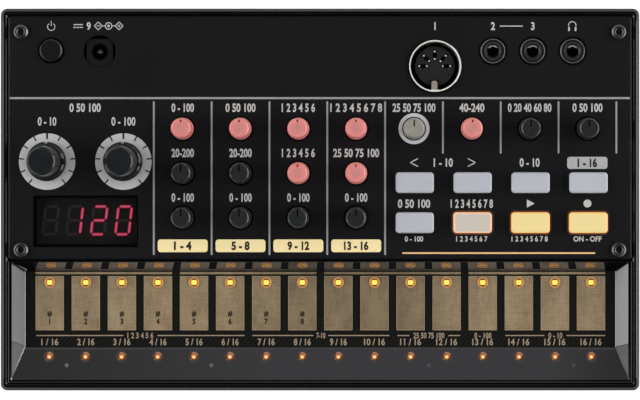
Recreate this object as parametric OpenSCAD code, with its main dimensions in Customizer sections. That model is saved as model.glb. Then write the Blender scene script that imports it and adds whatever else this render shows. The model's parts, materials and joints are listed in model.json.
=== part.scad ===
// Battery-powered drum machine: a flat black box with a printed control panel, a touch keyboard
// in a shallow recess along the front, and its sockets along the rear edge of the panel.
// Millimetres. The origin is on the ground under the middle of the case: +X right, +Y rear, +Z up.

/* [Case] */
// Width of the case, left to right
case_w = 193.5; // [191:0.5:230]
// Depth of the case, front to rear
case_d = 115.7; // [114.2:0.1:140]
// Height of the control panel's top face above the ground
panel_top = 32; // [31:0.5:40]
// Radius of the case's upright corners
corner_r = 2; // [1.2:0.1:5]
// Thickness of the side walls
wall_t = 2.05; // [1.4:0.05:2.4]
// Thickness of the floor
floor_t = 2.2; // [2:0.1:2.6]
// Height of the parting line between the two halves above the ground
parting_z = 17.5; // [15:0.5:20]
// Bevel along the outer top edge of the rim
outer_bevel = 0.9; // [0.3:0.1:1]
// Bevel along the inner top edge of the rim
inner_bevel = 0.35; // [0.1:0.05:0.6]
// Bevel along the bottom edge of the case
bottom_bevel = 1; // [0.4:0.1:1.4]
// Shadow gap between the rim and what lies inside it
seam = 0.3; // [0.15:0.05:0.5]
// Height of the four feet below the floor
foot_h = 1.5; // [1:0.1:3]
// Diameter of a foot
foot_d = 10; // [6:0.5:12]

/* [Control panel] */
// Thickness of the panel
panel_t = 2; // [1.5:0.1:2.5]
// Depth of the panel, front to rear
panel_d = 73.6; // [72:0.1:76]
// Bevel along the panel's top edge
panel_bevel = 0.35; // [0.1:0.05:0.6]
// Distance between the columns of small knobs
column_pitch = 17.5; // [16:0.1:18]
// Place of the first column of small knobs, from the middle of the panel
column_x = -41.55; // [-43:0.05:-40]
// Distance from the panel's rear edge to the first row of small knobs
knob_row_back = 34.05; // [33:0.05:36]
// Distance between the rows of small knobs
knob_row_pitch = 13.45; // [12.5:0.05:14]

/* [Small knobs] */
// Diameter of a small knob at its base
knob_base_d = 6.6; // [5:0.1:8]
// Diameter of a small knob at its top
knob_top_d = 5.8; // [4:0.1:7]
// Height of a small knob above the panel
knob_h = 8; // [6:0.1:12]
// Diameter of a small knob's stem
knob_stem_d = 3; // [2:0.1:4]
// Width of the pointer groove
pointer_w = 0.4; // [0.2:0.05:0.8]

/* [Dials] */
// Diameter of a dial at its skirt
dial_skirt_d = 11.9; // [11.4:0.1:14]
// Diameter of a dial at its top
dial_top_d = 8.5; // [7.5:0.1:10]
// Height of a dial above the panel
dial_h = 14; // [10:0.5:18]
// Height of the dial's skirt
dial_skirt_h = 2.8; // [2.4:0.1:4]
// Diameter of a dial's shaft
dial_shaft_d = 6; // [4:0.1:6.4]
// Place of the left dial, from the middle of the panel
left_dial_x = -82.6; // [-84:0.1:-80]
// Place of the right dial, from the middle of the panel
right_dial_x = -59.5; // [-61:0.1:-58]
// Distance from the panel's rear edge to both dials
dial_back = 44; // [42:0.1:45]

/* [Buttons] */
// Width of a button's cap
button_w = 11.5; // [10:0.1:13]
// Depth of a button's cap
button_d = 6.2; // [5:0.1:7]
// Height of a button above the panel
button_h = 2.2; // [1.4:0.1:3]
// Distance from the panel's rear edge to the first row of buttons
button_row_back = 50.4; // [49.5:0.1:51]
// Distance between the two rows of buttons
button_row_pitch = 12.1; // [11.5:0.1:13]
// Travel of a button
button_travel = 0.6; // [0.3:0.1:0.8]
// Diameter of the power button
power_d = 6.8; // [5:0.1:8]
// Height of the power button above the panel
power_h = 1.2; // [0.5:0.1:2]
// Travel of the power button
power_travel = 0.8; // [0.4:0.1:1]

/* [Keyboard] */
// Depth of the keyboard recess below the panel's top face
recess_depth = 4.2; // [3.4:0.1:5]
// Run of the steep rear slope of the recess
rear_run = 2.8; // [2:0.1:4]
// Run of the front slope of the recess
front_run = 9.6; // [7:0.1:11]
// Run of the two end cheeks
cheek_run = 3.55; // [2.5:0.05:5]
// Distance between two pads
pad_pitch = 10.98; // [10.5:0.02:11.2]
// Width of a pad
pad_w = 8.6; // [7:0.05:9.5]
// Strip of the board in front of the pads, for its print
word_strip = 5.2; // [4:0.05:7]
// Depth of the gold bar behind the pads
bar_d = 0.7; // [0.4:0.05:1.2]
// Gap between a pad and the gold bar
bar_gap = 0.55; // [0.2:0.05:0.8]
// Thickness of the gold film
film_t = 0.15; // [0.1:0.01:0.3]

/* [Sockets] */
// Outer diameter of the round socket's metal ring
din_d = 15.9; // [15:0.1:17]
// Wall of the round socket's metal ring
din_wall = 0.75; // [0.5:0.05:1]
// Diameter of the round socket's insulator
din_insert_d = 11.9; // [11.4:0.1:12.4]
// Bore of a mini jack
jack_bore_d = 3.6; // [3.5:0.05:3.8]
// Outer diameter of a mini jack's bush
jack_bush_d = 7.8; // [7:0.1:8.5]
// Distance between two mini jacks
jack_pitch = 12.05; // [11.5:0.05:13]

/* [Display] */
// Width of the display window
window_w = 31.8; // [31:0.1:34]
// Depth of the display window
window_d = 15.7; // [14:0.1:17]
// Height of a digit
digit_h = 9.5; // [7:0.1:11]
// Distance between two digits
digit_pitch = 7.35; // [6.5:0.05:7.8]

/* [Battery bay] */
// Diameter of a cell
cell_d = 14.5; // [13.5:0.1:14.5]
// Length of a cell
cell_l = 50.5; // [44:0.5:50.5]
// Thickness of the battery cover
cover_t = 1.8; // [1.6:0.1:1.8]

/* [Hidden] */
$fn = 48;

// Clearances
fit = 0.05;        // a stem or shaft in its bore, on the radius
free = 0.3;        // a moving piece beside a fixed one
slip = 0.1;        // a fixed piece in its opening

// Heights, from the ground up
floor_z = foot_h;
floor_top = floor_z + floor_t;
panel_under = panel_top - panel_t;
board_t = 1.6;
pot_h = 6.4;
main_board_z = panel_under - pot_h - board_t;
main_board_top = main_board_z + board_t;
recess_z = panel_top - recess_depth;
touch_board_z = recess_z - board_t;
socket_h = 12.4;
jack_board_z = panel_under - socket_h - board_t;
jack_board_top = jack_board_z + board_t;

// Plan of the case
half_w = case_w / 2;
half_d = case_d / 2;
in_w = half_w - wall_t;
in_d = half_d - wall_t;
inner_r = max(0.2, corner_r - wall_t);
panel_w = 2 * (in_w - seam);
panel_rear = in_d - seam;
panel_front = panel_rear - panel_d;
panel_y = (panel_rear + panel_front) / 2;

// The layout is drawn for a panel 188.8 wide and 73.6 deep, and keeps its share of any other
share_x = panel_w / 188.8;
share_y = panel_d / 73.6;
function across(x) = x * share_x;
function from_rear(d) = panel_rear - d * share_y;

// Keyboard moulding: a thin lip, a groove, then the slopes
lip_w = 0.5;
groove_w = 0.4;
side_groove_w = 0.6;
lip_bevel = 0.15;
groove_depth = 2.4;
surround_w = panel_w;
surround_rear = panel_front - 0.6;
surround_front = -(in_d - seam);
slope_front = surround_front + lip_w + groove_w;
slope_rear = surround_rear - 0.25;
board_front = slope_front + front_run;
board_rear = slope_rear - rear_run;
cheek_out = surround_w / 2 - lip_w - side_groove_w;
cheek_in = cheek_out - cheek_run;

// Pads, bars and lamps
pad_count = 16;
bar_rear = board_rear - 0.3;
pad_rear = bar_rear - bar_d - bar_gap;
pad_front = board_front + word_strip;
pad_d = pad_rear - pad_front;
pad_lamp_y = pad_rear - 1.95;
pad_lamp_d = 2.2;
front_lamp_d = 2.1;
front_lamp_y = board_front - 2.7;
front_lamp_top = recess_z + recess_depth * (board_front - front_lamp_y) / front_run;
pad_x = [for (i = [0:pad_count - 1]) across((i - (pad_count - 1) / 2) * pad_pitch)];
pad_wide = across(pad_w);

// Small knobs: name of the column and row of each, counted from the rear left
knob_at = [
    [0, 0], [0, 1], [0, 2],
    [1, 0], [1, 1], [1, 2],
    [2, 0], [2, 1], [2, 2],
    [3, 0], [3, 1], [3, 2],
    [4, 0], [5, 0], [6, 0], [7, 0]
];
function column(n) = across(column_x + column_pitch * n);
function knob_x(k) = column(knob_at[k][0]);
function knob_y(k) = from_rear(knob_row_back + knob_row_pitch * knob_at[k][1]);
knob_hole_d = knob_base_d + 2 * free;
knob_seat = panel_under + free;
stem_depth = 4.6;
pot_w = 9.5;
pot_d = 11;

// Dials
dial_x = [across(left_dial_x), across(right_dial_x)];
dial_y = from_rear(dial_back);
dial_pot_w = 16;
dial_pot_d = 17;
bushing_d = dial_shaft_d + 1.2;
bushing_top = panel_top + 2.2;
nut_across = 8.5;
nut_t = 1.8;
dial_gap = 0.5;
dial_bore_depth = 7;

// Buttons
button_at = [for (row = [0, 1]) for (col = [4:7]) [col, row]];
button_aside = 0.2;
function button_x(b) = column(button_at[b][0]) + button_aside;
function button_y(b) = from_rear(button_row_back + button_row_pitch * button_at[b][1]);
button_corner = 1;
flange = 0.9;
flange_t = 1;
flange_top = panel_under - free;
switch_top = flange_top - flange_t - button_travel - free;
switch_w = 6;
button_stem_d = 2.8;
button_stem_z = switch_top - 1.6;
power_x = across(-81.35);
power_y = from_rear(10.4);
power_corner = 0.4;
power_switch_top = flange_top - flange_t - power_travel - free;

// Sockets along the rear
dc_x = across(-66.7);
dc_y = from_rear(10.6);
dc_hole_d = 9.8;
dc_body_w = 7.9;
dc_body_front = 4.9;
dc_body_rear = 3.7;
dc_bore_d = 4.9;
dc_pin_d = 1.8;
dc_depth = 9.5;
dc_top = panel_top - 0.4;
din_x = across(34.8);
din_y = from_rear(15.1);
din_proud = 0.9;
din_insert_low = 0.6;
din_contact_r = 3.35;
din_contact_d = 1.1;
din_contact_wall = 0.2;
din_contact_low = 3;
din_base_w = 18;
din_base_h = 3;
jack_count = 3;
jack_x = [for (j = [0:jack_count - 1]) across(52.35 + j * jack_pitch)];
jack_y = from_rear(10.55);
jack_body_w = 9;
jack_body_d = 9;
jack_body_h = 9.4;
jack_bush_top = panel_top + 0.3;
jack_chamfer = 0.45;

// Display
window_x = across(-70.95);
window_y = from_rear(62.1);
window_wide = across(window_w);
window_low = 0.3;
module_w = window_wide - 1.4;
module_d = window_d - 1.7;
window_flange = 0.8;
module_top = panel_under - window_flange - 0.3;
segment_t = 0.2;
digit_w = 5.1;
digit_count = 4;
digit_lean = 6;
segment_w = 1.05;
segment_gap = 0.22;

// Screws
screw_y_rear = panel_rear - 4.8;
screw_y_front = panel_front + 2.9;
screw_x = in_w - 4.3;
screw_y_keys = -(in_d - 5.3);
boss_d = 6.4;
screw_d = 2.4;
screw_head_d = 4.3;
screw_head_h = 1.4;
screw_socket = 2;
screw_len = 9;
case_screw_head_d = 5;
case_screw_head_h = 1.8;
case_screw_well = 7;

// Circuit boards: the main one under the controls, a lower one under the sockets
main_front = panel_front + 1.2;
main_rear = from_rear(knob_row_back) + 9.5;
jack_front = main_rear + 1.8;
jack_rear = in_d - 1.6;
board_gap = 0.6;
board_w = 2 * (screw_x - boss_d / 2 - board_gap);
board_wide = 2 * (in_w - board_gap - 1.2);
wide_front = screw_y_front + boss_d / 2 + board_gap;

// Battery bay
contact_space = 3.2;
bay_wall = 1.4;
foot_inset = 1.6;
bay_room = 2 * (in_w - foot_inset - foot_d - bay_wall - free) - 2 * contact_space;
cells_long = floor(bay_room / cell_l);
cells_deep = 2;
cell_gap = 0.5;
bay_w = cells_long * cell_l + 2 * contact_space;
bay_d = cells_deep * cell_d + (cells_deep + 1) * cell_gap;
bay_y = -half_d + 27.6;
cell_z = floor_z + cover_t + free + cell_d / 2;
bay_roof = cell_z + cell_d / 2 + free;
bay_rear = bay_y + bay_d / 2;
cover_top = floor_z + cover_t + free;
tongue_w = 1.2;
tongue_t = 0.6;
tongue_z = floor_z + 0.7;

// Speaker, facing the floor
speaker_d = 36;
speaker_x = across(-15);
speaker_y = in_d - speaker_d / 2 - 3.8;
speaker_h = 11.4;
magnet_d = 20;
magnet_h = 4;
grille_d = 29;
slot_w = 1.6;
slot_pitch = 3.4;

// ---- Shared shapes ----

// A flat rounded rectangle round the origin
module rounded_rect(w, d, r) {
    square([w - 2 * r, d], center = true);
    square([w, d - 2 * r], center = true);
    for (sx = [-1, 1], sy = [-1, 1])
        translate([sx * (w / 2 - r), sy * (d / 2 - r)]) circle(r);
}

// An upright block with rounded corners
module block(w, d, r, z0, z1) {
    translate([0, 0, z0]) linear_extrude(z1 - z0) rounded_rect(w, d, r);
}

// Half of a bevelled section, from the middle out to half width h
function bevel_half(h, z0, z1, low, high) =
    [[h - low, z0], [h, z0 + low], [h, z1 - high], [h - high, z1]];

// The whole bevelled section, symmetrical about the middle
function bevel_section(h, z0, z1, low, high) = concat(
    bevel_half(h, z0, z1, low, high),
    [for (p = [3:-1:0]) let (q = bevel_half(h, z0, z1, low, high)[p]) [-q[0], q[1]]]
);

// An upright block with rounded corners and a bevel round its bottom and top edge
module bevelled_block(w, d, r, z0, z1, low = 0, high = 0) {
    flat_w = w - 2 * r;
    flat_d = d - 2 * r;
    rotate([90, 0, 0]) translate([0, 0, -flat_d / 2])
        linear_extrude(flat_d) polygon(bevel_section(w / 2, z0, z1, low, high));
    rotate([90, 0, 90]) translate([0, 0, -flat_w / 2])
        linear_extrude(flat_w) polygon(bevel_section(d / 2, z0, z1, low, high));
    for (sx = [-1, 1], sy = [-1, 1])
        translate([sx * flat_w / 2, sy * flat_d / 2])
            rotate_extrude() polygon(concat([[0, z0]], bevel_half(r, z0, z1, low, high), [[0, z1]]));
}

// An upright rod
module rod(d, z0, z1) {
    translate([0, 0, z0]) cylinder(h = z1 - z0, d = d);
}

// An upright tube
module tube(d, bore, z0, z1) {
    difference() {
        rod(d, z0, z1);
        rod(bore, z0 - 1, z1 + 1);
    }
}

// An upright box centred on x and y
module box_at(x, y, w, d, z0, z1) {
    translate([x - w / 2, y - d / 2, z0]) cube([w, d, z1 - z0]);
}

// Copies on both sides of the middle
module both_sides() {
    children();
    mirror([1, 0, 0]) children();
}

// ---- Casing ----

screw_rows = [screw_y_rear, screw_y_front];
case_screw_rows = [screw_y_rear, screw_y_front, screw_y_keys];

// Section of the cover and of its opening, front to rear
module cover_section(gap) {
    front = gap > 0 ? half_d + 1 : half_d;
    bevel = gap > 0 ? 0 : bottom_bevel;
    polygon([
        [-front + bevel, floor_z - gap], [-front, floor_z + bevel - gap],
        [-front, floor_z + cover_t + gap], [bay_rear + gap, floor_z + cover_t + gap],
        [bay_rear + gap, floor_z - gap]
    ]);
}

module along_x(w) {
    rotate([90, 0, 90]) translate([0, 0, -w / 2]) linear_extrude(w) children();
}

// Slots of the speaker grille, kept inside a circle
module grille_slots() {
    reach = floor(grille_d / 2 / slot_pitch);
    for (n = [-reach:reach]) {
        half = sqrt(pow(grille_d / 2, 2) - pow(n * slot_pitch, 2)) - slot_w / 2;
        translate([speaker_x, speaker_y + n * slot_pitch, floor_z - 1]) {
            box_at(0, 0, 2 * half, slot_w, 0, floor_t + 2);
            for (s = [-1, 1]) translate([s * half, 0]) rod(slot_w, 0, floor_t + 2);
        }
    }
}

post_d = 5;
post_x = in_w - foot_inset - foot_d + 0.45;
roof_post_x = [-0.3 * bay_w, 0, 0.3 * bay_w];
roof_post_y = [bay_y - bay_d / 4, bay_y + bay_d / 4];

module bottom_case() color([0.09, 0.09, 0.1]) difference() {
    union() {
        difference() {
            bevelled_block(case_w, case_d, corner_r, floor_z, parting_z, bottom_bevel, 0.3);
            block(2 * in_w, 2 * in_d, inner_r, floor_top, parting_z + 1);
        }
        // Battery bay: four walls and a roof
        box_at(0, bay_y, bay_w + 2 * bay_wall, bay_d + 2 * bay_wall, cover_top, bay_roof + bay_wall);
        // Web over the cover between the bay and the front wall
        box_at(0, (bay_y - in_d) / 2, bay_w + 2 * bay_wall, in_d + bay_y + 0.4, cover_top,
            floor_top + 1.2);
        // Posts under the touch board and the main board
        both_sides() {
            for (y = [panel_front - 6, 9.8 - in_d])
                translate([post_x, y]) rod(post_d, floor_top - 1, touch_board_z);
            for (y = [main_front + 11, main_rear - 3])
                translate([post_x, y]) rod(post_d, floor_top - 1, main_board_z);
            for (y = [jack_front + 3.2, jack_rear - 4.2])
                translate([post_x - post_d, y]) rod(post_d, floor_top - 1, jack_board_z);
        }
        for (x = roof_post_x, y = roof_post_y) translate([x, y]) rod(post_d, bay_roof, touch_board_z);
        // Bosses for the case screws
        both_sides() for (y = case_screw_rows)
            translate([screw_x, y]) rod(case_screw_head_d + 2.4, floor_top - 1, parting_z);
        // Ring that centres the speaker
        translate([speaker_x, speaker_y])
            tube(speaker_d + 2 * slip + 2, speaker_d + 2 * slip, floor_top - 0.5, floor_top + 2);
    }
    // Inside of the battery bay
    box_at(0, bay_y, bay_w, bay_d, floor_z - 1, bay_roof);
    // Opening of the cover with its two grooves
    along_x(bay_w + 2 * free) cover_section(free);
    both_sides()
        translate([bay_w / 2, -half_d - 1, tongue_z - free])
            cube([tongue_w + 2 * free, half_d + 1 + bay_rear + free, tongue_t + 2 * free]);
    grille_slots();
    // Wells and holes for the case screws
    both_sides() for (y = case_screw_rows) translate([screw_x, y]) {
        rod(case_screw_head_d + 2 * free, floor_z - 1, floor_z + case_screw_well);
        rod(screw_d + 2 * free, floor_z, parting_z + 1);
    }
    // Seats of the feet
    foot_places() rod(foot_d + 2 * slip, floor_z - 1, floor_z + 0.5);
}

module top_case() color([0.08, 0.08, 0.09]) difference() {
    union() {
        difference() {
            bevelled_block(case_w, case_d, corner_r, parting_z, panel_top, 0.3, outer_bevel);
            block(2 * in_w, 2 * in_d, inner_r, parting_z - 1, panel_top + 1);
            bevelled_block(2 * (in_w + inner_bevel), 2 * (in_d + inner_bevel),
                inner_r + inner_bevel, panel_top - inner_bevel, panel_top + 1, inner_bevel, 0);
        }
        // Ledges under the panel and under the touch board
        both_sides() {
            ledge_from = panel_front - 0.5;
            translate([in_w - 1.2, ledge_from, panel_under - 1.5]) cube([1.4, in_d - ledge_from, 1.5]);
            translate([in_w - 1.2, -in_d, touch_board_z - 1.5])
                cube([1.4, in_d + panel_front, 1.5]);
        }
        box_at(0, in_d - 0.5, 2 * in_w, 1.4, panel_under - 1.5, panel_under);
        box_at(0, -in_d + 0.5, 2 * in_w, 1.4, touch_board_z - 1.5, touch_board_z);
        // Rib under the front edge of the panel
        box_at(0, panel_front + 0.1, 2 * in_w + 0.4, 1.2, touch_board_z - 1.5, panel_under);
        // Bosses with a web to the wall
        both_sides() {
            for (y = screw_rows) {
                translate([screw_x, y]) rod(boss_d, parting_z, panel_under);
                box_at((screw_x + in_w) / 2, y, in_w - screw_x + 0.4, 2.4, parting_z, panel_under - 1);
            }
            translate([screw_x, screw_y_keys]) rod(boss_d, parting_z, touch_board_z);
            box_at((screw_x + in_w) / 2, screw_y_keys, in_w - screw_x + 0.4, 2.4, parting_z,
                touch_board_z - 1);
        }
    }
    both_sides() {
        for (y = screw_rows)
            translate([screw_x, y]) rod(screw_d + 2 * fit, panel_top - screw_len - 0.5, panel_top);
        for (y = case_screw_rows)
            translate([screw_x, y]) rod(screw_d + 2 * fit, parting_z - 1, parting_z + 4.5);
    }
}

module control_panel() color([0.11, 0.11, 0.12]) difference() {
    translate([0, panel_y])
        bevelled_block(panel_w, panel_d, 0.8, panel_under, panel_top, 0, panel_bevel);
    low = panel_under - 1;
    high = panel_top + 1;
    for (k = [0:len(knob_at) - 1]) translate([knob_x(k), knob_y(k)]) rod(knob_hole_d, low, high);
    for (x = dial_x) translate([x, dial_y]) rod(bushing_d + 2 * slip, low, high);
    for (b = [0:len(button_at) - 1]) translate([button_x(b), button_y(b)])
        block(button_w + 2 * free, button_d + 2 * free, button_corner + free, low, high);
    translate([power_x, power_y]) rod(power_d + 3 * free, low, high);
    translate([dc_x, dc_y]) rod(dc_hole_d, low, high);
    translate([din_x, din_y]) rod(din_d + 2 * free, low, high);
    for (x = jack_x) translate([x, jack_y])
        rod(jack_bush_d + 2 * free, low, high);
    translate([window_x, window_y]) block(window_wide, window_d, 0.5, low, high);
    both_sides() for (y = screw_rows) translate([screw_x, y]) rod(screw_d + 2 * free, low, high);
}

// Front-to-rear section of the hollow that the recess leaves
module recess_section() {
    polygon([
        [board_front, recess_z - 1], [board_front, recess_z], [slope_front, panel_top],
        [slope_front, panel_top + 1], [slope_rear, panel_top + 1], [slope_rear, panel_top],
        [board_rear, recess_z], [board_rear, recess_z - 1]
    ]);
}

module keyboard_surround() color([0.06, 0.06, 0.07]) difference() {
    translate([0, (surround_rear + surround_front) / 2])
        bevelled_block(surround_w, surround_rear - surround_front, 0.3, recess_z, panel_top, 0,
            lip_bevel);
    along_x(2 * (cheek_out + side_groove_w)) recess_section();
    // Groove between the lip and the front slope
    box_at(0, slope_front - groove_w / 2, 2 * (cheek_out + side_groove_w), groove_w,
        panel_top - groove_depth, panel_top + 1);
    for (x = pad_x) translate([x, front_lamp_y])
        rod(front_lamp_d + 2 * slip, recess_z - 1, panel_top + 1);
}

// A wedge at each end of the recess, cut to the section of the recess
module end_cheeks() color([0.55, 0.55, 0.56]) both_sides() intersection() {
    along_x(2 * cheek_out) recess_section();
    rotate([90, 0, 0]) translate([0, 0, -slope_rear]) linear_extrude(slope_rear - slope_front)
        polygon([[cheek_in, recess_z], [cheek_out, recess_z], [cheek_out, panel_top]]);
}

module battery_cover() color([0.1, 0.1, 0.11]) difference() {
    union() {
        along_x(bay_w) cover_section(0);
        both_sides() translate([bay_w / 2 - 1, -half_d + 3, tongue_z])
            cube([1 + tongue_w, half_d - 3 + bay_rear, tongue_t]);
    }
    // Finger grooves near the front edge
    for (n = [0:4]) box_at(0, -half_d + 8 + 2.4 * n, 26, 1.2, floor_z - 1, floor_z + 0.5);
}

module foot_places() {
    both_sides() for (y = [half_d - 21, -(half_d - 19)])
        translate([in_w - foot_d / 2 - foot_inset, y]) children();
}

module rubber_feet() color([0.15, 0.15, 0.15])
    foot_places() bevelled_disc(foot_d, 0, floor_z + 0.5, 0.5);

// A disc with a bevel round its lower edge
module bevelled_disc(d, z0, z1, bevel) {
    rotate_extrude() polygon([[0, z0], [d / 2 - bevel, z0], [d / 2, z0 + bevel], [d / 2, z1], [0, z1]]);
}

module panel_screws() color([0.6, 0.6, 0.62]) both_sides() for (y = screw_rows)
    translate([screw_x, y]) difference() {
        union() {
            rod(screw_d, panel_top - screw_len, panel_top + 0.1);
            rotate_extrude() polygon([
                [0, panel_top], [screw_head_d / 2, panel_top],
                [screw_head_d / 2, panel_top + screw_head_h - 0.45],
                [screw_head_d / 2 - 0.45, panel_top + screw_head_h], [0, panel_top + screw_head_h]
            ]);
        }
        translate([0, 0, panel_top + 0.3]) cylinder(h = 3, d = screw_socket / cos(30), $fn = 6);
        translate([0, 0, panel_top + screw_head_h - 0.2])
            cylinder(h = 0.21, r1 = screw_socket / 2, r2 = screw_socket / 2 + 0.25);
    }

module case_screws() color([0.2, 0.2, 0.21]) both_sides() for (y = case_screw_rows)
    translate([screw_x, y]) difference() {
        head_z = floor_z + case_screw_well - case_screw_head_h;
        union() {
            rod(case_screw_head_d, head_z, head_z + case_screw_head_h);
            rod(screw_d, head_z + 1, parting_z + 4);
        }
        for (turn = [0, 90]) rotate(turn) box_at(0, 0, 2.8, 0.6, head_z - 1, head_z + 1);
    }

// ---- Controls ----

// The lit knobs have a short notch at the edge of their top, the others a pointer groove
lit_knobs = [0, 3, 6, 7, 9, 10, 13];
function pointer_len(k) = len(search(k, lit_knobs)) > 0 ? 0.8 : 2.1;

module small_knob(k) {
    top = panel_top + knob_h;
    base_r = knob_base_d / 2;
    top_r = knob_top_d / 2;
    stem_r = knob_stem_d / 2;
    edge = 0.35;
    translate([knob_x(k), knob_y(k)]) difference() {
        rotate_extrude() polygon([
            [0, knob_seat - stem_depth], [stem_r, knob_seat - stem_depth], [stem_r, knob_seat],
            [base_r, knob_seat], [base_r, panel_top + 1.4], [top_r + 0.08, panel_top + 1.8],
            [top_r, top - edge], [top_r - edge, top], [0, top]
        ]);
        translate([-pointer_w / 2, top_r - edge - pointer_len(k), top - 0.4])
            cube([pointer_w, pointer_len(k), 1]);
    }
}

// A hollow knob with a skirt; a notch in the skirt points to the rear
module dial_knob(x) {
    low = panel_top + dial_gap;
    top = panel_top + dial_h;
    skirt_r = dial_skirt_d / 2;
    top_r = dial_top_d / 2;
    waist_r = top_r + 0.75;
    nut_room_r = nut_across / cos(30) / 2 + 0.15;
    hollow_top = bushing_top + 0.5;
    translate([x, dial_y]) difference() {
        rotate_extrude() polygon([
            [0, low], [skirt_r, low], [skirt_r, low + dial_skirt_h - 1],
            [skirt_r - 0.4, low + dial_skirt_h - 0.4], [waist_r, low + dial_skirt_h],
            [top_r, top - 0.5], [top_r - 0.5, top], [0, top]
        ]);
        rod(2 * nut_room_r, low - 1, min(hollow_top, low + dial_skirt_h - 0.5));
        rod(bushing_d + 1, low - 1, hollow_top);
        rod(dial_shaft_d, low - 1, hollow_top + dial_bore_depth);
        translate([0, skirt_r]) rod(1.1, low - 1, low + dial_skirt_h - 0.1);
    }
}

module dial_shaft(x) translate([x, dial_y])
    rod(dial_shaft_d, main_board_top + 1.5, bushing_top + 0.5 + dial_bore_depth);

// A push button: cap through the panel, flange under it and a stem into its switch
module button(b) translate([button_x(b), button_y(b)]) {
    bevelled_block(button_w, button_d, button_corner, flange_top, panel_top + button_h, 0, 0.35);
    block(button_w + 2 * flange, button_d + 2 * flange, button_corner, flange_top - flange_t, flange_top);
    rod(button_stem_d, button_stem_z, flange_top - flange_t);
}

module power_button() color([0.2, 0.2, 0.21]) translate([power_x, power_y]) {
    r = power_d / 2;
    top = panel_top + power_h;
    rotate_extrude() polygon([
        [0, power_switch_top - 2], [button_stem_d / 2, power_switch_top - 2],
        [button_stem_d / 2, flange_top - flange_t], [r + flange, flange_top - flange_t],
        [r + flange, flange_top], [r, flange_top], [r, top - power_corner],
        [r - power_corner, top], [0, top]
    ]);
}

// ---- Keyboard ----

module touch_board() color([0.1, 0.1, 0.1]) difference() {
    w = 2 * (in_w - free);
    rear = panel_front - 0.8;
    front = -(in_d - free);
    box_at(0, (rear + front) / 2, w, rear - front, touch_board_z, recess_z);
    for (x = pad_x) translate([x, pad_lamp_y])
        rod(pad_lamp_d + 2 * slip, touch_board_z - 1, recess_z + 1);
}

// First and last pad under each stretch of the gold bar
bar_groups = [[0, 3], [4, 7], [8, 11], [12, 15]];

module touch_pads() color([0.56, 0.49, 0.38]) {
    for (x = pad_x) translate([x, 0]) difference() {
        box_at(0, (pad_rear + pad_front) / 2, pad_wide, pad_d, recess_z, recess_z + film_t);
        translate([0, pad_lamp_y]) rod(pad_lamp_d + 2 * slip, recess_z - 1, recess_z + 1);
    }
    for (g = bar_groups) {
        x0 = pad_x[g[0]] - pad_wide / 2;
        x1 = pad_x[g[1]] + pad_wide / 2;
        box_at((x0 + x1) / 2, bar_rear - bar_d / 2, x1 - x0, bar_d, recess_z, recess_z + film_t);
    }
}

module pad_leds() color([1, 0.8, 0.3]) for (x = pad_x) translate([x, pad_lamp_y])
    rod(pad_lamp_d, touch_board_z, recess_z + film_t + 0.05);

module front_leds() color([1, 0.7, 0.4]) for (x = pad_x) translate([x, front_lamp_y]) {
    r = front_lamp_d / 2;
    rotate_extrude() polygon([
        [0, recess_z], [r, recess_z], [r, front_lamp_top - 0.6], [0.85 * r, front_lamp_top - 0.3],
        [0.5 * r, front_lamp_top - 0.06], [0, front_lamp_top]
    ]);
}

// ---- Sockets ----

module dc_body(z0, z1) {
    box_at(0, (dc_body_rear - dc_body_front) / 2, dc_body_w, dc_body_front + dc_body_rear, z0, z1);
}

module socket_housings() color([0.13, 0.13, 0.14]) {
    // Power jack
    translate([dc_x, dc_y]) difference() {
        union() {
            dc_body(jack_board_top, panel_under);
            intersection() {
                dc_body(panel_under - 1, dc_top);
                rod(dc_hole_d - 2 * slip, panel_under - 1, dc_top);
            }
        }
        rod(dc_bore_d, dc_top - dc_depth, dc_top + 1);
    }
    // Mini jacks
    for (x = jack_x) translate([x, jack_y]) difference() {
        box_at(0, 0, jack_body_w, jack_body_d, jack_board_top, jack_board_top + jack_body_h);
        rod(jack_bore_d, jack_board_top + 1, jack_board_top + jack_body_h + 1);
    }
}

module socket_contacts() color([0.75, 0.74, 0.7]) {
    translate([dc_x, dc_y]) {
        pin_top = dc_top - 1;
        rod(dc_pin_d, dc_top - dc_depth, pin_top - 0.5);
        translate([0, 0, pin_top - 0.5]) cylinder(h = 0.5, d1 = dc_pin_d, d2 = dc_pin_d - 0.8);
    }
    din_places() tube(din_contact_d, din_contact_d - 2 * din_contact_wall,
        jack_board_top + din_base_h, panel_top - din_contact_low);
}

module din_places() {
    translate([din_x, din_y]) for (a = [0:45:180])
        rotate(a) translate([din_contact_r, 0]) children();
}

module din_shell() color([0.88, 0.88, 0.87]) translate([din_x, din_y]) {
    tube(din_d, din_d - 2 * din_wall, jack_board_top + din_base_h, panel_top + din_proud);
    // Key that orients the plug
    key_w = 2.1;
    key_l = 2.9;
    key_r = din_d / 2 - din_wall;
    box_at(0, -key_r + key_l / 2 - 0.2, key_w, key_l, jack_board_top + din_base_h, panel_top + 0.2);
}

module din_insert() color([0.16, 0.16, 0.17]) difference() {
    translate([din_x, din_y]) difference() {
        union() {
            box_at(0, 0, din_base_w, din_base_w, jack_board_top, jack_board_top + din_base_h);
            rod(din_insert_d, jack_board_top + din_base_h - 0.5, panel_top - din_insert_low);
        }
        // Slot round the key
        box_at(0, -din_insert_d / 2, 2.1 + 2 * slip, 3.4, jack_board_top + din_base_h, panel_top);
    }
    din_places() rod(din_contact_d + 2 * slip, jack_board_top + din_base_h, panel_top + 1);
}

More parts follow.
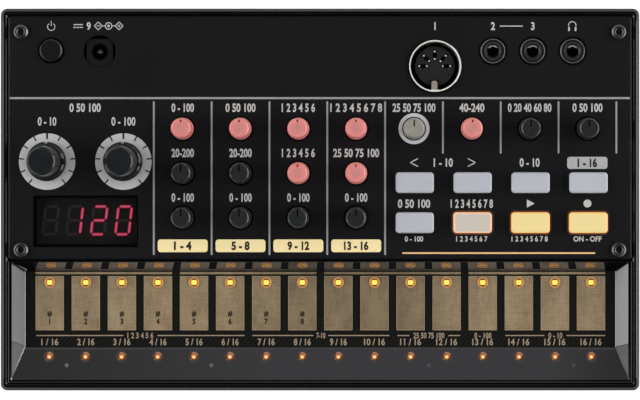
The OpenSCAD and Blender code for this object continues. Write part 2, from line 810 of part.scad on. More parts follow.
module jack_bushes() color([0.2, 0.2, 0.21]) for (x = jack_x)
    translate([x, jack_y]) {
        low = jack_board_top + jack_body_h;
        bore_r = jack_bore_d / 2;
        rotate_extrude() polygon([
            [bore_r, low], [jack_bush_d / 2, low], [jack_bush_d / 2, jack_bush_top - jack_chamfer],
            [jack_bush_d / 2 - jack_chamfer, jack_bush_top], [bore_r + jack_chamfer, jack_bush_top],
            [bore_r, jack_bush_top - jack_chamfer]
        ]);
    }

// ---- Display ----

// A clear lens in the panel's opening, held by a flange along its front and rear edge
module display_window() color([0.1, 0.05, 0.06]) translate([window_x, window_y]) {
    w = window_wide - 2 * slip;
    d = window_d - 2 * slip;
    block(w, d, 0.4, panel_under - 0.2, panel_top - window_low);
    box_at(0, 0, w - 0.8, d + 2 * window_flange, panel_under - window_flange, panel_under);
}

module display_module() color([0.07, 0.07, 0.07]) translate([window_x, window_y])
    box_at(0, 0, module_w, module_d, main_board_top, module_top - segment_t);

// One segment of a digit: a bar with pointed ends, along X
module segment(len) {
    h = segment_w / 2;
    linear_extrude(segment_t) polygon([
        [-len / 2, 0], [-len / 2 + h, h], [len / 2 - h, h],
        [len / 2, 0], [len / 2 - h, -h], [-len / 2 + h, -h]
    ]);
}

module digit() {
    wide = digit_w - segment_w;
    up = (digit_h - segment_w) / 2;
    lean = tan(digit_lean);
    multmatrix([[1, lean, 0, 0], [0, 1, 0, 0], [0, 0, 1, 0], [0, 0, 0, 1]]) {
        for (n = [-1, 0, 1]) translate([0, n * up]) segment(wide - segment_gap);
        for (sx = [-1, 1], sy = [-1, 1])
            translate([sx * wide / 2, sy * up / 2]) rotate(90) segment(up - segment_gap);
    }
}

module display_segments() color([0.85, 0.25, 0.35])
    for (n = [0:digit_count - 1])
        translate([window_x + across((n - (digit_count - 1) / 2) * digit_pitch) + 0.3, window_y + 0.3,
            module_top - segment_t]) digit();

// ---- Inside ----

module circuit_boards() color([0.1, 0.35, 0.2]) {
    box_at(0, (main_front + main_rear) / 2, board_w, main_rear - main_front,
        main_board_z, main_board_top);
    box_at(0, (wide_front + main_rear) / 2, board_wide, main_rear - wide_front,
        main_board_z, main_board_top);
    box_at(0, (jack_front + jack_rear) / 2, board_w, jack_rear - jack_front,
        jack_board_z, jack_board_top);
}

// Place across, distance from the panel's rear edge, width and depth of each chip
chips = [[8, 43.5, 14, 14], [32, 43.5, 10, 10], [-28, 41.5, 9, 7], [56, 47.5, 8, 6], [-56, 47.5, 8, 6]];
chip_t = 1.1;

module board_chips() color([0.12, 0.12, 0.13]) {
    for (c = chips) box_at(across(c[0]), from_rear(c[1]), c[2], c[3],
        main_board_z - chip_t, main_board_z);
    box_at(across(10), (jack_front + jack_rear) / 2, 8, 10, jack_board_top, jack_board_top + chip_t);
}

module potentiometers() color([0.25, 0.27, 0.3]) {
    for (k = [0:len(knob_at) - 1]) translate([knob_x(k), knob_y(k)]) difference() {
        box_at(0, 0, pot_w, pot_d, main_board_top, panel_under);
        rod(knob_stem_d + 2 * fit, knob_seat - stem_depth - free, panel_under + 1);
    }
    for (x = dial_x) translate([x, dial_y]) difference() {
        union() {
            box_at(0, 0, dial_pot_w, dial_pot_d, main_board_top, panel_under);
            rod(bushing_d, panel_under - 0.5, bushing_top);
        }
        rod(dial_shaft_d + 2 * fit, main_board_top + 1.2, bushing_top + 1);
    }
}

module dial_nuts() color([0.7, 0.7, 0.72]) for (x = dial_x) translate([x, dial_y]) difference() {
    translate([0, 0, panel_top]) cylinder(h = nut_t, d = nut_across / cos(30), $fn = 6);
    rod(bushing_d + 2 * fit, panel_top - 1, panel_top + nut_t + 1);
}

module switches() color([0.3, 0.3, 0.32]) {
    for (b = [0:len(button_at) - 1]) translate([button_x(b), button_y(b)]) difference() {
        box_at(0, 0, switch_w, switch_w, main_board_top, switch_top);
        rod(button_stem_d + 2 * free, button_stem_z - button_travel - free, switch_top + 1);
    }
    translate([power_x, power_y]) difference() {
        box_at(0, 0, 8.5, 8.5, jack_board_top, power_switch_top);
        rod(button_stem_d + 2 * free, power_switch_top - 2 - power_travel - free, power_switch_top + 1);
    }
}

module speaker_frame() color([0.3, 0.3, 0.3]) translate([speaker_x, speaker_y]) difference() {
    basket_top = floor_top + speaker_h - magnet_h;
    union() {
        rod(speaker_d, floor_top, floor_top + 1.2);
        translate([0, 0, floor_top + 1.2])
            cylinder(h = basket_top - floor_top - 1.2, d1 = speaker_d - 3, d2 = magnet_d + 3);
        rod(magnet_d, basket_top - 0.5, floor_top + speaker_h);
    }
    rod(speaker_d - 4, floor_top - 1, floor_top + 0.6);
    translate([0, 0, floor_top + 0.5])
        cylinder(h = basket_top - floor_top - 1.3, d1 = speaker_d - 6, d2 = magnet_d);
}

// A thin cone on its rim, with the dust cap over its middle
module speaker_cone() color([0.1, 0.1, 0.1]) translate([speaker_x, speaker_y])
    rotate_extrude() polygon([
        [0, floor_top + 3.2], [3.6, floor_top + 3.7], [5, floor_top + 4.2],
        [speaker_d / 2 - 4, floor_top + 0.2], [speaker_d / 2 - 2.1, floor_top + 0.2],
        [speaker_d / 2 - 2.1, floor_top + 0.6], [speaker_d / 2 - 4, floor_top + 0.6],
        [5, floor_top + 4.8], [0, floor_top + 4.8]
    ]);

cell_x = [for (n = [0:cells_long - 1]) (n - (cells_long - 1) / 2) * cell_l];
cell_y = [for (n = [0:cells_deep - 1]) bay_y + (n - (cells_deep - 1) / 2) * (cell_d + cell_gap)];

// A cell along X with its raised pole at the end that dir points to
module cell(dir) rotate([0, 90 * dir, 0]) rotate_extrude() polygon([
    [0, -cell_l / 2 + 0.1], [cell_d / 2 - 0.3, -cell_l / 2 + 0.1], [cell_d / 2, -cell_l / 2 + 0.4],
    [cell_d / 2, cell_l / 2 - 1.8], [cell_d / 2 - 0.5, cell_l / 2 - 1.3], [2.7, cell_l / 2 - 1.3],
    [2.7, cell_l / 2 - 0.1], [0, cell_l / 2 - 0.1]
]);

module battery_cells() color([0.75, 0.6, 0.3]) for (x = cell_x, n = [0:cells_deep - 1])
    translate([x, cell_y[n], cell_z]) cell(n == 0 ? 1 : -1);

// A plate on each end wall of the bay, and a spring or a bump in front of it
module battery_contacts() color([0.8, 0.8, 0.78]) for (n = [0:cells_deep - 1], side = [-1, 1]) {
    plate_t = 0.4;
    spring_end = (n == 0) == (side < 0);
    reach = contact_space - plate_t - 0.1;
    translate([side * bay_w / 2, cell_y[n], cell_z]) rotate([0, -90 * side, 0]) {
        translate([-5, -5, 0]) cube([10, 10, plate_t]);
        if (spring_end)
            for (turn = [0:3]) translate([0, 0, plate_t + reach * turn / 4])
                ring(4.6 - 0.6 * turn, reach / 4);
        else
            translate([0, 0, plate_t - 0.1]) cylinder(h = reach, d1 = 6, d2 = 4);
    }
}

// One turn of a conical spring
module ring(r, pitch) rotate_extrude() polygon([
    [r - 0.8, 0], [r, 0], [r + 0.1, pitch / 2], [r, pitch], [r - 0.8, pitch], [r - 0.9, pitch / 2]
]);

// Two flat cables between the boards
module ribbon_cables() color([0.85, 0.85, 0.82]) {
    film = 0.4;
    lap = 5;
    cable_w = 16;
    under = touch_board_z - film;
    run_z = main_board_top;
    start = main_front + lap;
    turn = panel_front - 4.5;
    translate([across(24), 0, 0]) along_x(cable_w) polygon([
        [start, run_z], [main_front - 2, run_z], [turn, under], [turn - lap, under],
        [turn - lap, under + film], [turn - 0.3, under + film], [main_front - 2.3, run_z + film],
        [start, run_z + film]
    ]);
    mid = (main_rear + jack_front) / 2;
    translate([across(-40), 0, 0]) along_x(cable_w) polygon([
        [main_rear - lap, main_board_z - film], [mid - film / 2, main_board_z - film],
        [mid - film / 2, jack_board_top + film], [mid + film / 2, jack_board_top],
        [jack_front + lap, jack_board_top], [jack_front + lap, jack_board_top + film],
        [mid + film / 2, jack_board_top + film], [mid + film / 2, main_board_z],
        [main_rear - lap, main_board_z]
    ]);
}

// ---- Assembly ----

coral = [0.85, 0.5, 0.47];
black = [0.15, 0.16, 0.17];
pale = [0.7, 0.72, 0.75];

bottom_case();
top_case();
control_panel();
keyboard_surround();
end_cheeks();
battery_cover();
rubber_feet();
panel_screws();
case_screws();
color(black) dial_knob(dial_x[0]);  // left_dial_knob
color(pale) dial_shaft(dial_x[0]);  // left_dial_shaft
color(black) dial_knob(dial_x[1]);  // right_dial_knob
color(pale) dial_shaft(dial_x[1]);  // right_dial_shaft
color(coral) small_knob(0);  // kick_click_knob
color(black) small_knob(1);  // kick_pitch_knob
color(black) small_knob(2);  // kick_decay_knob
color(coral) small_knob(3);  // snare_snap_knob
color(black) small_knob(4);  // snare_pitch_knob
color(black) small_knob(5);  // snare_decay_knob
color(coral) small_knob(6);  // tom_high_knob
color(coral) small_knob(7);  // tom_low_knob
color(black) small_knob(8);  // tom_decay_knob
color(coral) small_knob(9);  // hat_closed_knob
color(coral) small_knob(10);  // hat_open_knob
color(black) small_knob(11);  // hat_grain_knob
color([0.55, 0.54, 0.5]) small_knob(12);  // sample_speed_knob
color(coral) small_knob(13);  // tempo_knob
color(black) small_knob(14);  // part_level_knob
color(black) small_knob(15);  // volume_knob
color(pale) button(0);  // part_back_button
color(pale) button(1);  // part_next_button
color(pale) button(2);  // mute_button
color(pale) button(3);  // function_button
color(pale) button(4);  // memory_button
color([0.8, 0.76, 0.72]) button(5);  // step_mode_button
color([0.94, 0.87, 0.63]) button(6);  // play_button
color([0.94, 0.87, 0.63]) button(7);  // record_button
power_button();
touch_board();
touch_pads();
pad_leds();
front_leds();
socket_housings();
socket_contacts();
din_shell();
din_insert();
jack_bushes();
display_window();
display_module();
display_segments();
circuit_boards();
board_chips();
potentiometers();
dial_nuts();
switches();
speaker_frame();
speaker_cone();
battery_cells();
battery_contacts();
ribbon_cables();
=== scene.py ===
"""Looks of the drum machine: camera, light, materials, printing, lamps and small details."""

import json
import math

import bmesh
import bpy
from mathutils import Matrix, Vector


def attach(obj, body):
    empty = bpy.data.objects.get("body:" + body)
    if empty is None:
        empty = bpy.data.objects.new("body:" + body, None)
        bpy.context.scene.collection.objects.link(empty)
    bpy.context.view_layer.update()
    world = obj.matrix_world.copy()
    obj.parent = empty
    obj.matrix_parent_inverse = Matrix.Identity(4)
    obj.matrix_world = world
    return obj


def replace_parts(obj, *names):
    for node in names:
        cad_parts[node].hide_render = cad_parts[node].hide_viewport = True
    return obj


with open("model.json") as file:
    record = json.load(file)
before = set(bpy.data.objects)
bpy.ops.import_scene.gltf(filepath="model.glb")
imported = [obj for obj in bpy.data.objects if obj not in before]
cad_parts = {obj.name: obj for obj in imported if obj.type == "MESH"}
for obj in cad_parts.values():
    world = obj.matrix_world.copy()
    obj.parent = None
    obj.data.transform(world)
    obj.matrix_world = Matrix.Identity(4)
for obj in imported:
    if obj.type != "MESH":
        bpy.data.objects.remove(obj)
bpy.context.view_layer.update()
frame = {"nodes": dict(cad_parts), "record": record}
scene = bpy.context.scene

# ---- Shared sizes, in millimetres, as in the part's source ----
MM = 0.001
PANEL = 32.0
BOARD = 27.8
LAYER = 0.03
COLUMN = [-41.55 + 17.5 * k for k in range(8)]
ROW = [21.45, 8.0, -5.45]
DIALS = [(-82.6, 11.5), (-59.5, 11.5)]
PAD_X = [(i - 7.5) * 10.98 for i in range(16)]
PAD_W, PAD_REAR, PAD_FRONT = 8.6, -23.3, -39.8
PAD_LAMP_Y = -25.25
FRONT_LAMP_Y = -47.7
BUTTON_X = [x + 0.2 for x in COLUMN]
BUTTON_Y = [5.1, -7.0]
BUTTON_W, BUTTON_D = 11.5, 6.2
DIN = (34.8, 40.4)
JACK_X, JACK_Y = [52.35, 64.4, 76.45], 44.95
POWER = (-81.35, 45.1)
SCREWS = [(x, y) for x in (-90.4, 90.4) for y in (50.7, -15.2)]
SLOPE_REAR, BOARD_REAR, BOARD_FRONT, SLOPE_FRONT = -18.95, -21.75, -45.0, -54.6
CHEEK_OUT, CHEEK_IN = 93.3, 89.75

CORAL = ["kick_click_knob", "snare_snap_knob", "tom_high_knob", "tom_low_knob",
         "hat_closed_knob", "hat_open_knob", "tempo_knob"]
GREY_KNOB = "sample_speed_knob"
KNOB_COLUMNS = [["kick_click", "kick_pitch", "kick_decay"],
                ["snare_snap", "snare_pitch", "snare_decay"],
                ["tom_high", "tom_low", "tom_decay"],
                ["hat_closed", "hat_open", "hat_grain"],
                ["sample_speed"], ["tempo"], ["part_level"], ["volume"]]
KNOBS = {name + "_knob": (COLUMN[k], ROW[n])
         for k, names in enumerate(KNOB_COLUMNS) for n, name in enumerate(names)}


def tone(r, g, b):
    """A colour from its display values, 0 to 255, as the shader takes it."""
    def channel(v):
        v /= 255.0
        return v / 12.92 if v <= 0.04045 else ((v + 0.055) / 1.055) ** 2.4
    return (channel(r), channel(g), channel(b), 1.0)


def dimmed(colour, share):
    """A colour with so much of its light."""
    return tuple(share * c for c in colour[:3]) + (1.0,)


# ---- Materials: their helpers ----

def shader(name):
    mat = bpy.data.materials.new(name)
    mat.use_nodes = True
    return mat, mat.node_tree, mat.node_tree.nodes["Principled BSDF"]


def calculate(tree, operation, *values, kind="ShaderNodeMath"):
    """The result of a Math or Vector Math node. A value is another node's output or plain."""
    node = tree.nodes.new(kind)
    node.operation = operation
    for socket, value in zip(node.inputs, values):
        if isinstance(value, bpy.types.NodeSocket):
            tree.links.new(value, socket)
        else:
            socket.default_value = value
    return node.outputs[0]


def scaled(tree, colour, factor):
    """A colour times a number, both from other nodes."""
    node = tree.nodes.new("ShaderNodeVectorMath")
    node.operation = "SCALE"
    tree.links.new(colour, node.inputs[0])
    tree.links.new(factor, node.inputs["Scale"])
    return node.outputs[0]


def position(tree, space="Object"):
    return tree.nodes.new("ShaderNodeTexCoord").outputs[space]


def axes(tree, vector):
    """The X, Y and Z of a vector."""
    split = tree.nodes.new("ShaderNodeSeparateXYZ")
    tree.links.new(vector, split.inputs[0])
    return split.outputs


def noise(tree, scale, detail=3.0, stretch=None):
    """A noise texture in the object's own space, at so many cells to the metre."""
    out = position(tree)
    if stretch:
        mapping = tree.nodes.new("ShaderNodeMapping")
        mapping.inputs["Scale"].default_value = stretch
        tree.links.new(out, mapping.inputs["Vector"])
        out = mapping.outputs["Vector"]
    tex = tree.nodes.new("ShaderNodeTexNoise")
    tex.inputs["Scale"].default_value = scale
    tex.inputs["Detail"].default_value = detail
    tree.links.new(out, tex.inputs["Vector"])
    return tex.outputs["Fac"]


def blend_colours(tree, factor, low, high):
    mix = tree.nodes.new("ShaderNodeMix")
    mix.data_type = "RGBA"
    mix.inputs[6].default_value = low
    mix.inputs[7].default_value = high
    tree.links.new(factor, mix.inputs[0])
    return mix.outputs[2]


def spread(tree, value, low, high, start=0.3, end=0.7):
    """Takes a value between start and end to the range from low to high."""
    node = tree.nodes.new("ShaderNodeMapRange")
    node.inputs["From Min"].default_value = start
    node.inputs["From Max"].default_value = end
    node.inputs["To Min"].default_value = low
    node.inputs["To Max"].default_value = high
    tree.links.new(value, node.inputs["Value"])
    return node.outputs["Result"]


def relief(tree, bsdf, height, depth):
    """Bump from a node's output. Its depth is in millimetres."""
    node = tree.nodes.new("ShaderNodeBump")
    node.inputs["Distance"].default_value = depth * MM
    tree.links.new(height, node.inputs["Height"])
    tree.links.new(node.outputs["Normal"], bsdf.inputs["Normal"])


def finish_surface(tree, bsdf, rough, grain, bump):
    """Roughness that varies a little, and a fine relief."""
    fine = noise(tree, grain, 4.0)
    tree.links.new(spread(tree, fine, rough[0], rough[1]), bsdf.inputs["Roughness"])
    if bump:
        relief(tree, bsdf, fine, bump)


def material(name, colour, shade=None, cloud=90.0, rough=(0.4, 0.5), grain=3000.0, bump=0.004,
             metal=0.0, level=0.5, alpha=1.0, glow=None, strength=0.0):
    """A surface of two close tones, with grain in its gloss and relief."""
    mat, tree, bsdf = shader(name)
    shade = shade or dimmed(colour, 0.82)
    broad = spread(tree, noise(tree, cloud, 5.0), 0.0, 1.0)
    tree.links.new(blend_colours(tree, broad, shade, colour), bsdf.inputs["Base Color"])
    finish_surface(tree, bsdf, rough, grain, bump)
    bsdf.inputs["Metallic"].default_value = metal
    bsdf.inputs["Specular IOR Level"].default_value = level
    bsdf.inputs["Alpha"].default_value = alpha
    if glow:
        bsdf.inputs["Emission Color"].default_value = glow
        bsdf.inputs["Emission Strength"].default_value = strength
    return mat


def ink(name, colour, shade, cloud=600.0, level=0.3):
    return material(name, colour, shade, cloud, (0.5, 0.65), level=level)


OWN_LIGHT = 0.5


def rim_lit(name, centre, size, inside, edge, width):
    """A cap lit from below: it changes towards its edge, and part of its light is its own."""
    mat, tree, bsdf = shader(name)
    offset = calculate(tree, "SUBTRACT", position(tree), (centre[0] * MM, centre[1] * MM, 0.0),
                       kind="ShaderNodeVectorMath")
    folded = axes(tree, calculate(tree, "ABSOLUTE", offset, kind="ShaderNodeVectorMath"))
    gaps = [calculate(tree, "SUBTRACT", full / 2 * MM, folded[axis])
            for axis, full in zip("XY", size)]
    nearest = calculate(tree, "SMOOTH_MIN", gaps[0], gaps[1], 0.8 * MM)
    factor = spread(tree, nearest, 0.0, 1.0, width[0] * MM, width[1] * MM)
    for socket, share in (("Emission Color", OWN_LIGHT), ("Base Color", 1 - OWN_LIGHT)):
        tree.links.new(blend_colours(tree, factor, dimmed(edge, share), dimmed(inside, share)),
                       bsdf.inputs[socket])
    bsdf.inputs["Emission Strength"].default_value = 1.0
    finish_surface(tree, bsdf, (0.5, 0.6), 2400.0, 0.006)
    return mat


def light_up(name, colour, strength=1.0):
    """A surface with its own light, a little gloss and grain: a lamp, or painted lamp light."""
    return material(name, dimmed(colour, 0.25), rough=(0.3, 0.45), glow=colour, strength=strength)


def hatched_board():
    """Black solder mask with the faint diagonal weave of the copper under it."""
    mat, tree, bsdf = shader("hatched_board")
    turn = tree.nodes.new("ShaderNodeMapping")
    turn.inputs["Rotation"].default_value = (0.0, 0.0, math.radians(45))
    tree.links.new(position(tree), turn.inputs["Vector"])
    wave = tree.nodes.new("ShaderNodeTexWave")
    wave.bands_direction = "X"
    wave.inputs["Scale"].default_value = 300.0
    wave.inputs["Distortion"].default_value = 0.0
    tree.links.new(turn.outputs["Vector"], wave.inputs["Vector"])
    weave = calculate(tree, "MULTIPLY_ADD", noise(tree, 1800.0), 0.35, wave.outputs["Fac"])
    tree.links.new(blend_colours(tree, spread(tree, weave, 0.0, 1.0, 0.2, 1.2),
                                 tone(15, 15, 14), tone(27, 26, 25)), bsdf.inputs["Base Color"])
    tree.links.new(spread(tree, weave, 0.35, 0.5, 0.2, 1.2), bsdf.inputs["Roughness"])
    relief(tree, bsdf, weave, 0.01)
    bsdf.inputs["Specular IOR Level"].default_value = 0.12
    return mat


def pad_gold():
    """Gold-brown film with woven grain, clouds of wear, and painted sheen towards the row's ends.
    """
    mat, tree, bsdf = shader("pad_gold")
    weave = calculate(tree, "ADD", noise(tree, 2600.0, 2.0, (1.0, 0.12, 1.0)),
                      noise(tree, 2600.0, 2.0, (0.12, 1.0, 1.0)))
    clouds = noise(tree, 170.0, 3.0, (1.0, 0.6, 1.0))
    wear = spread(tree, calculate(tree, "MULTIPLY_ADD", clouds, 1.6, weave), 0.0, 1.0, 1.4, 2.2)
    gold = blend_colours(tree, wear, tone(126, 108, 82), tone(156, 136, 106))
    # Painted sheen: the colour is scaled up the farther a pad lies from the middle of the row
    away = calculate(tree, "SUBTRACT", axes(tree, position(tree))["X"], 0.011)
    level = spread(tree, calculate(tree, "ABSOLUTE", away), 0.80, 1.07, 0.018, 0.038)
    tree.links.new(scaled(tree, gold, level), bsdf.inputs["Base Color"])
    tree.links.new(spread(tree, weave, 0.42, 0.56, 0.7, 1.3), bsdf.inputs["Roughness"])
    relief(tree, bsdf, weave, 0.012)
    bsdf.inputs["Metallic"].default_value = 0.2
    return mat


def two_ends(name, left, right):
    """A gloss surface whose left and right pieces differ in tone: painted light and shade."""
    mat, tree, bsdf = shader(name)
    side = spread(tree, axes(tree, position(tree))["X"], 0.0, 1.0, -0.05, 0.05)
    tree.links.new(blend_colours(tree, side, left, right), bsdf.inputs["Base Color"])
    finish_surface(tree, bsdf, (0.235, 0.25), 900.0, 0.0005)
    return mat


def middle_lit(name, ends, middle):
    """A gloss moulding with painted light: lighter along the middle of its length than its ends.
    """
    mat, tree, bsdf = shader(name)
    along = axes(tree, position(tree))["X"]
    share = calculate(tree, "MULTIPLY", spread(tree, along, 0.0, 1.0, -0.09, -0.015),
                      spread(tree, along, 1.0, 0.0, 0.07, 0.09))
    tree.links.new(blend_colours(tree, share, ends, middle), bsdf.inputs["Base Color"])
    finish_surface(tree, bsdf, (0.12, 0.18), 900.0, 0.002)
    bsdf.inputs["Specular IOR Level"].default_value = 0.36
    return mat


# ---- Materials: the table, and which node wears which ----
mats = {
    "case": material("case_moulding", tone(9, 9, 10), tone(7, 7, 8), 60.0, (0.14, 0.22), 3200.0,
                     0.006),
    "panel": material("panel_coat", tone(22, 22, 24), tone(19, 19, 21), 35.0, (0.42, 0.55), 2600.0,
                      0.008, level=0.12),
    "surround": middle_lit("surround_gloss", tone(17, 17, 18), tone(40, 39, 42)),
    "mirror": material("slope_mirror", tone(172, 178, 194), tone(162, 168, 184), 40.0,
                       (0.05, 0.08), 700.0, 0.0005, metal=1.0),
    # Painted light: the right cheek is lighter than the left
    "cheek": two_ends("cheek_gloss", tone(95, 95, 98), tone(139, 139, 142)),
    # Painted highlight for the cheeks' edges, and the dark line of their painted reflection
    "cheek_edge": material("cheek_edge", tone(176, 176, 178), tone(166, 166, 168), 400.0,
                           (0.25, 0.35), 2000.0, 0.002),
    "cheek_reflection_line": material("cheek_reflection_line", tone(40, 40, 42), tone(32, 32, 34), 400.0, (0.4, 0.5),
                             2000.0, 0.002),
    "rubber": material("foot_rubber", tone(34, 34, 34), tone(24, 24, 24), 300.0, (0.7, 0.85),
                       2500.0, 0.05),
    "steel": material("bright_steel", tone(200, 200, 203), tone(170, 170, 174), 300.0, (0.18, 0.3),
                      3000.0, 0.003, metal=1.0),
    "screw_steel": material("screw_steel", tone(104, 106, 109), tone(82, 84, 87), 400.0,
                            (0.24, 0.4), metal=1.0),
    # Painted shade: dark sheets laid in the screws' sockets, and in gaps, grooves and holes
    "screw_socket": material("screw_socket", tone(10, 10, 11), tone(7, 7, 8), 400.0, (0.5, 0.6),
                             level=0.2),
    "gap": material("gap_shadow", tone(5, 5, 5), tone(3, 3, 3), 400.0, (0.6, 0.7), 2000.0,
                    level=0.05),
    "dark_steel": material("dark_steel", tone(80, 80, 82), tone(60, 60, 62), 300.0, (0.3, 0.45),
                           metal=1.0),
    "knob_black": material("knob_black", tone(38, 40, 41), tone(34, 36, 37), 400.0, (0.18, 0.28),
                           3500.0),
    "dial_black": material("dial_black", tone(33, 35, 37), tone(28, 30, 32), 300.0, (0.05, 0.1),
                           1500.0, 0.0008, level=0.3),
    # The coral pieces below glow faintly though no lamp is in them: painted light
    "knob_coral": material("knob_coral", tone(219, 138, 134), tone(208, 126, 121), 500.0,
                           (0.2, 0.3), glow=tone(236, 130, 120), strength=0.05),
    "coral_groove": material("coral_groove", tone(122, 58, 52), tone(104, 46, 42), 600.0,
                             (0.5, 0.6), level=0.2),
    "coral_middle": material("coral_middle", tone(198, 132, 127), tone(186, 121, 116), 700.0,
                             (0.4, 0.55), 3000.0, 0.006, glow=tone(220, 130, 122), strength=0.05),
    "knob_grey": material("knob_grey", tone(146, 143, 134), tone(136, 133, 124), 400.0,
                          (0.35, 0.5), 3000.0, 0.008),
    "button": material("button_pale", tone(181, 184, 191), tone(176, 179, 187), 160.0, (0.5, 0.62),
                       2600.0, 0.006),
    "power": material("power_black", tone(17, 17, 17), tone(14, 14, 14), 300.0, (0.25, 0.35),
                      3000.0, 0.005),
    "board": hatched_board(),
    "pad": pad_gold(),
    "pad_edge": material("pad_edge", tone(178, 158, 124), tone(166, 146, 112), 800.0, (0.4, 0.5),
                         2200.0, metal=0.2),
    "socket": material("socket_black", tone(26, 27, 27), tone(20, 21, 21), 300.0, (0.18, 0.28),
                       3000.0, 0.003),
    "insulator": material("insulator_black", tone(16, 17, 17), tone(10, 11, 11), 600.0,
                          (0.5, 0.65), 2600.0, 0.02, level=0.35),
    "ring": material("ring_metal", tone(246, 245, 240), tone(226, 222, 214), 500.0, (0.12, 0.22),
                     2500.0, 0.002, metal=0.1),
    "tip": material("contact_tip", tone(240, 238, 230), tone(220, 216, 206), 500.0, (0.15, 0.25),
                    2500.0, 0.002, metal=0.1),
    # Painted highlights on the jacks' bushes: their outer edge and their throat
    "bush_edge": material("bush_edge", tone(104, 105, 107), tone(74, 75, 77), 260.0, (0.15, 0.25),
                          2500.0, 0.002),
    "bush_throat": material("bush_throat", tone(52, 53, 54), tone(42, 43, 44), 260.0, (0.2, 0.3),
                            2500.0, 0.002),
    "contact": material("contact_metal", tone(205, 200, 188), tone(170, 164, 150), 600.0,
                        (0.15, 0.3), 2500.0, 0.003, metal=1.0),
    "window": material("window_smoke", tone(8, 8, 9), tone(6, 6, 7), 200.0, (0.03, 0.06), 600.0,
                       0.0, alpha=0.35, level=0.35),
    "display": material("display_body", tone(64, 62, 62), tone(58, 56, 56), 300.0, (0.6, 0.7),
                        2500.0, 0.01, level=0.2),
    "green": material("board_green", tone(20, 80, 50), tone(14, 62, 38), 200.0, (0.35, 0.5),
                      2000.0, 0.01),
    "part": material("part_grey", tone(66, 68, 72), tone(52, 54, 58), 300.0, (0.45, 0.6), 2500.0,
                     0.01),
    "cone": material("cone_paper", tone(30, 30, 30), tone(20, 20, 20), 900.0, (0.8, 0.95), 3500.0,
                     0.06),
    "cell": material("cell_wrap", tone(190, 150, 60), tone(170, 130, 45), 120.0, (0.25, 0.35),
                     2500.0, metal=0.6),
    "cable": material("cable_film", tone(205, 204, 196), tone(185, 184, 176), 300.0, (0.35, 0.5),
                      2500.0),
    "grey_ink": ink("grey_ink", tone(156, 156, 157), tone(148, 148, 149), 900.0),
    "label_ink": ink("label_ink", tone(192, 192, 190), tone(182, 182, 180), 900.0),
    "ring_ink": ink("ring_ink", tone(198, 199, 200), tone(190, 191, 193)),
    "cream_ink": ink("cream_ink", tone(252, 233, 176), tone(247, 228, 169)),
    "orange_ink": ink("orange_ink", tone(234, 190, 140), tone(228, 182, 132)),
    "dark_ink": ink("dark_ink", tone(44, 38, 28), tone(38, 32, 24), level=0.2),
    "box_ink": ink("box_ink", tone(176, 176, 177), tone(168, 168, 170), 900.0),
    "black_ink": ink("black_ink", tone(26, 26, 27), tone(22, 22, 23), level=0.2),
    "board_ink": ink("board_ink", tone(154, 138, 118), tone(142, 126, 106)),
}

NODE_MATERIAL = {
    "case": ["bottom_case", "top_case", "battery_cover"],
    "panel": ["control_panel"],
    "surround": ["keyboard_surround"],
    "cheek": ["end_cheeks"],
    "rubber": ["rubber_feet"],
    "screw_steel": ["panel_screws"],
    "dark_steel": ["case_screws", "speaker_frame"],
    "steel": ["dial_nuts", "left_dial_shaft", "right_dial_shaft"],
    "dial_black": ["left_dial_knob", "right_dial_knob"],
    "knob_coral": CORAL,
    "knob_grey": [GREY_KNOB],
    "knob_black": [node for node in KNOBS if node not in CORAL and node != GREY_KNOB],
    "button": ["part_back_button", "part_next_button", "mute_button", "function_button",
               "memory_button"],
    "power": ["power_button"],
    "board": ["touch_board"],
    "pad": ["touch_pads"],
    "socket": ["socket_housings", "jack_bushes"],
    "insulator": ["din_insert"],
    "ring": ["din_shell"],
    "contact": ["socket_contacts", "battery_contacts"],
    "window": ["display_window"],
    "display": ["display_module"],
    "green": ["circuit_boards"],
    "part": ["board_chips", "potentiometers", "switches"],
    "cone": ["speaker_cone"],
    "cell": ["battery_cells"],
    "cable": ["ribbon_cables"],
}


def dress(node, mat):
    for slot in frame["nodes"][node].material_slots:
        slot.material = mat


for key, names in NODE_MATERIAL.items():
    for node in names:
        dress(node, mats[key])

for node, k, inside, edge, width in (
        ("step_mode_button", 5, tone(199, 191, 178), tone(255, 204, 166), (0.3, 0.62)),
        ("play_button", 6, tone(237, 216, 152), tone(255, 206, 128), (0.1, 0.7)),
        ("record_button", 7, tone(237, 216, 152), tone(255, 206, 128), (0.1, 0.7))):
    dress(node, rim_lit(node + "_lit", (BUTTON_X[k], BUTTON_Y[1]), (BUTTON_W, BUTTON_D),
                        inside, edge, width))

# ---- Making pieces ----


def add_mesh(name, mesh, mat, body="case", smooth=False):
    data = bpy.data.meshes.new(name)
    mesh.to_mesh(data)
    mesh.free()
    obj = bpy.data.objects.new(name, data)
    scene.collection.objects.link(obj)
    data.materials.append(mat)
    if smooth:
        for face in data.polygons:
            face.use_smooth = True
    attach(obj, body)
    return obj


def film(name, faces, mat):
    """Thin faces on the case, given by their corners' x, y and z in millimetres."""
    mesh = bmesh.new()
    for corners in faces:
        mesh.faces.new([mesh.verts.new((x * MM, y * MM, z * MM)) for x, y, z in corners])
    return add_mesh(name, mesh, mat)


def set_type(words, weight=0.0):
    """Points and faces of a line of type at the font's own size, centred on x."""
    curve = bpy.data.curves.new("type", "FONT")
    curve.body = words
    curve.align_x = "CENTER"
    curve.space_character = 1.02
    curve.offset = weight
    curve.resolution_u = 4
    obj = bpy.data.objects.new("type", curve)
    scene.collection.objects.link(obj)
    bpy.context.view_layer.update()
    mesh = obj.to_mesh()
    points = [(v.co.x, v.co.y) for v in mesh.vertices]
    faces = [tuple(f.vertices) for f in mesh.polygons]
    obj.to_mesh_clear()
    bpy.data.objects.remove(obj)
    bpy.data.curves.remove(curve)
    return points, faces


CAPITAL_YS = [y for x, y in set_type("H")[0]]
CAPITAL = max(CAPITAL_YS) - min(CAPITAL_YS)


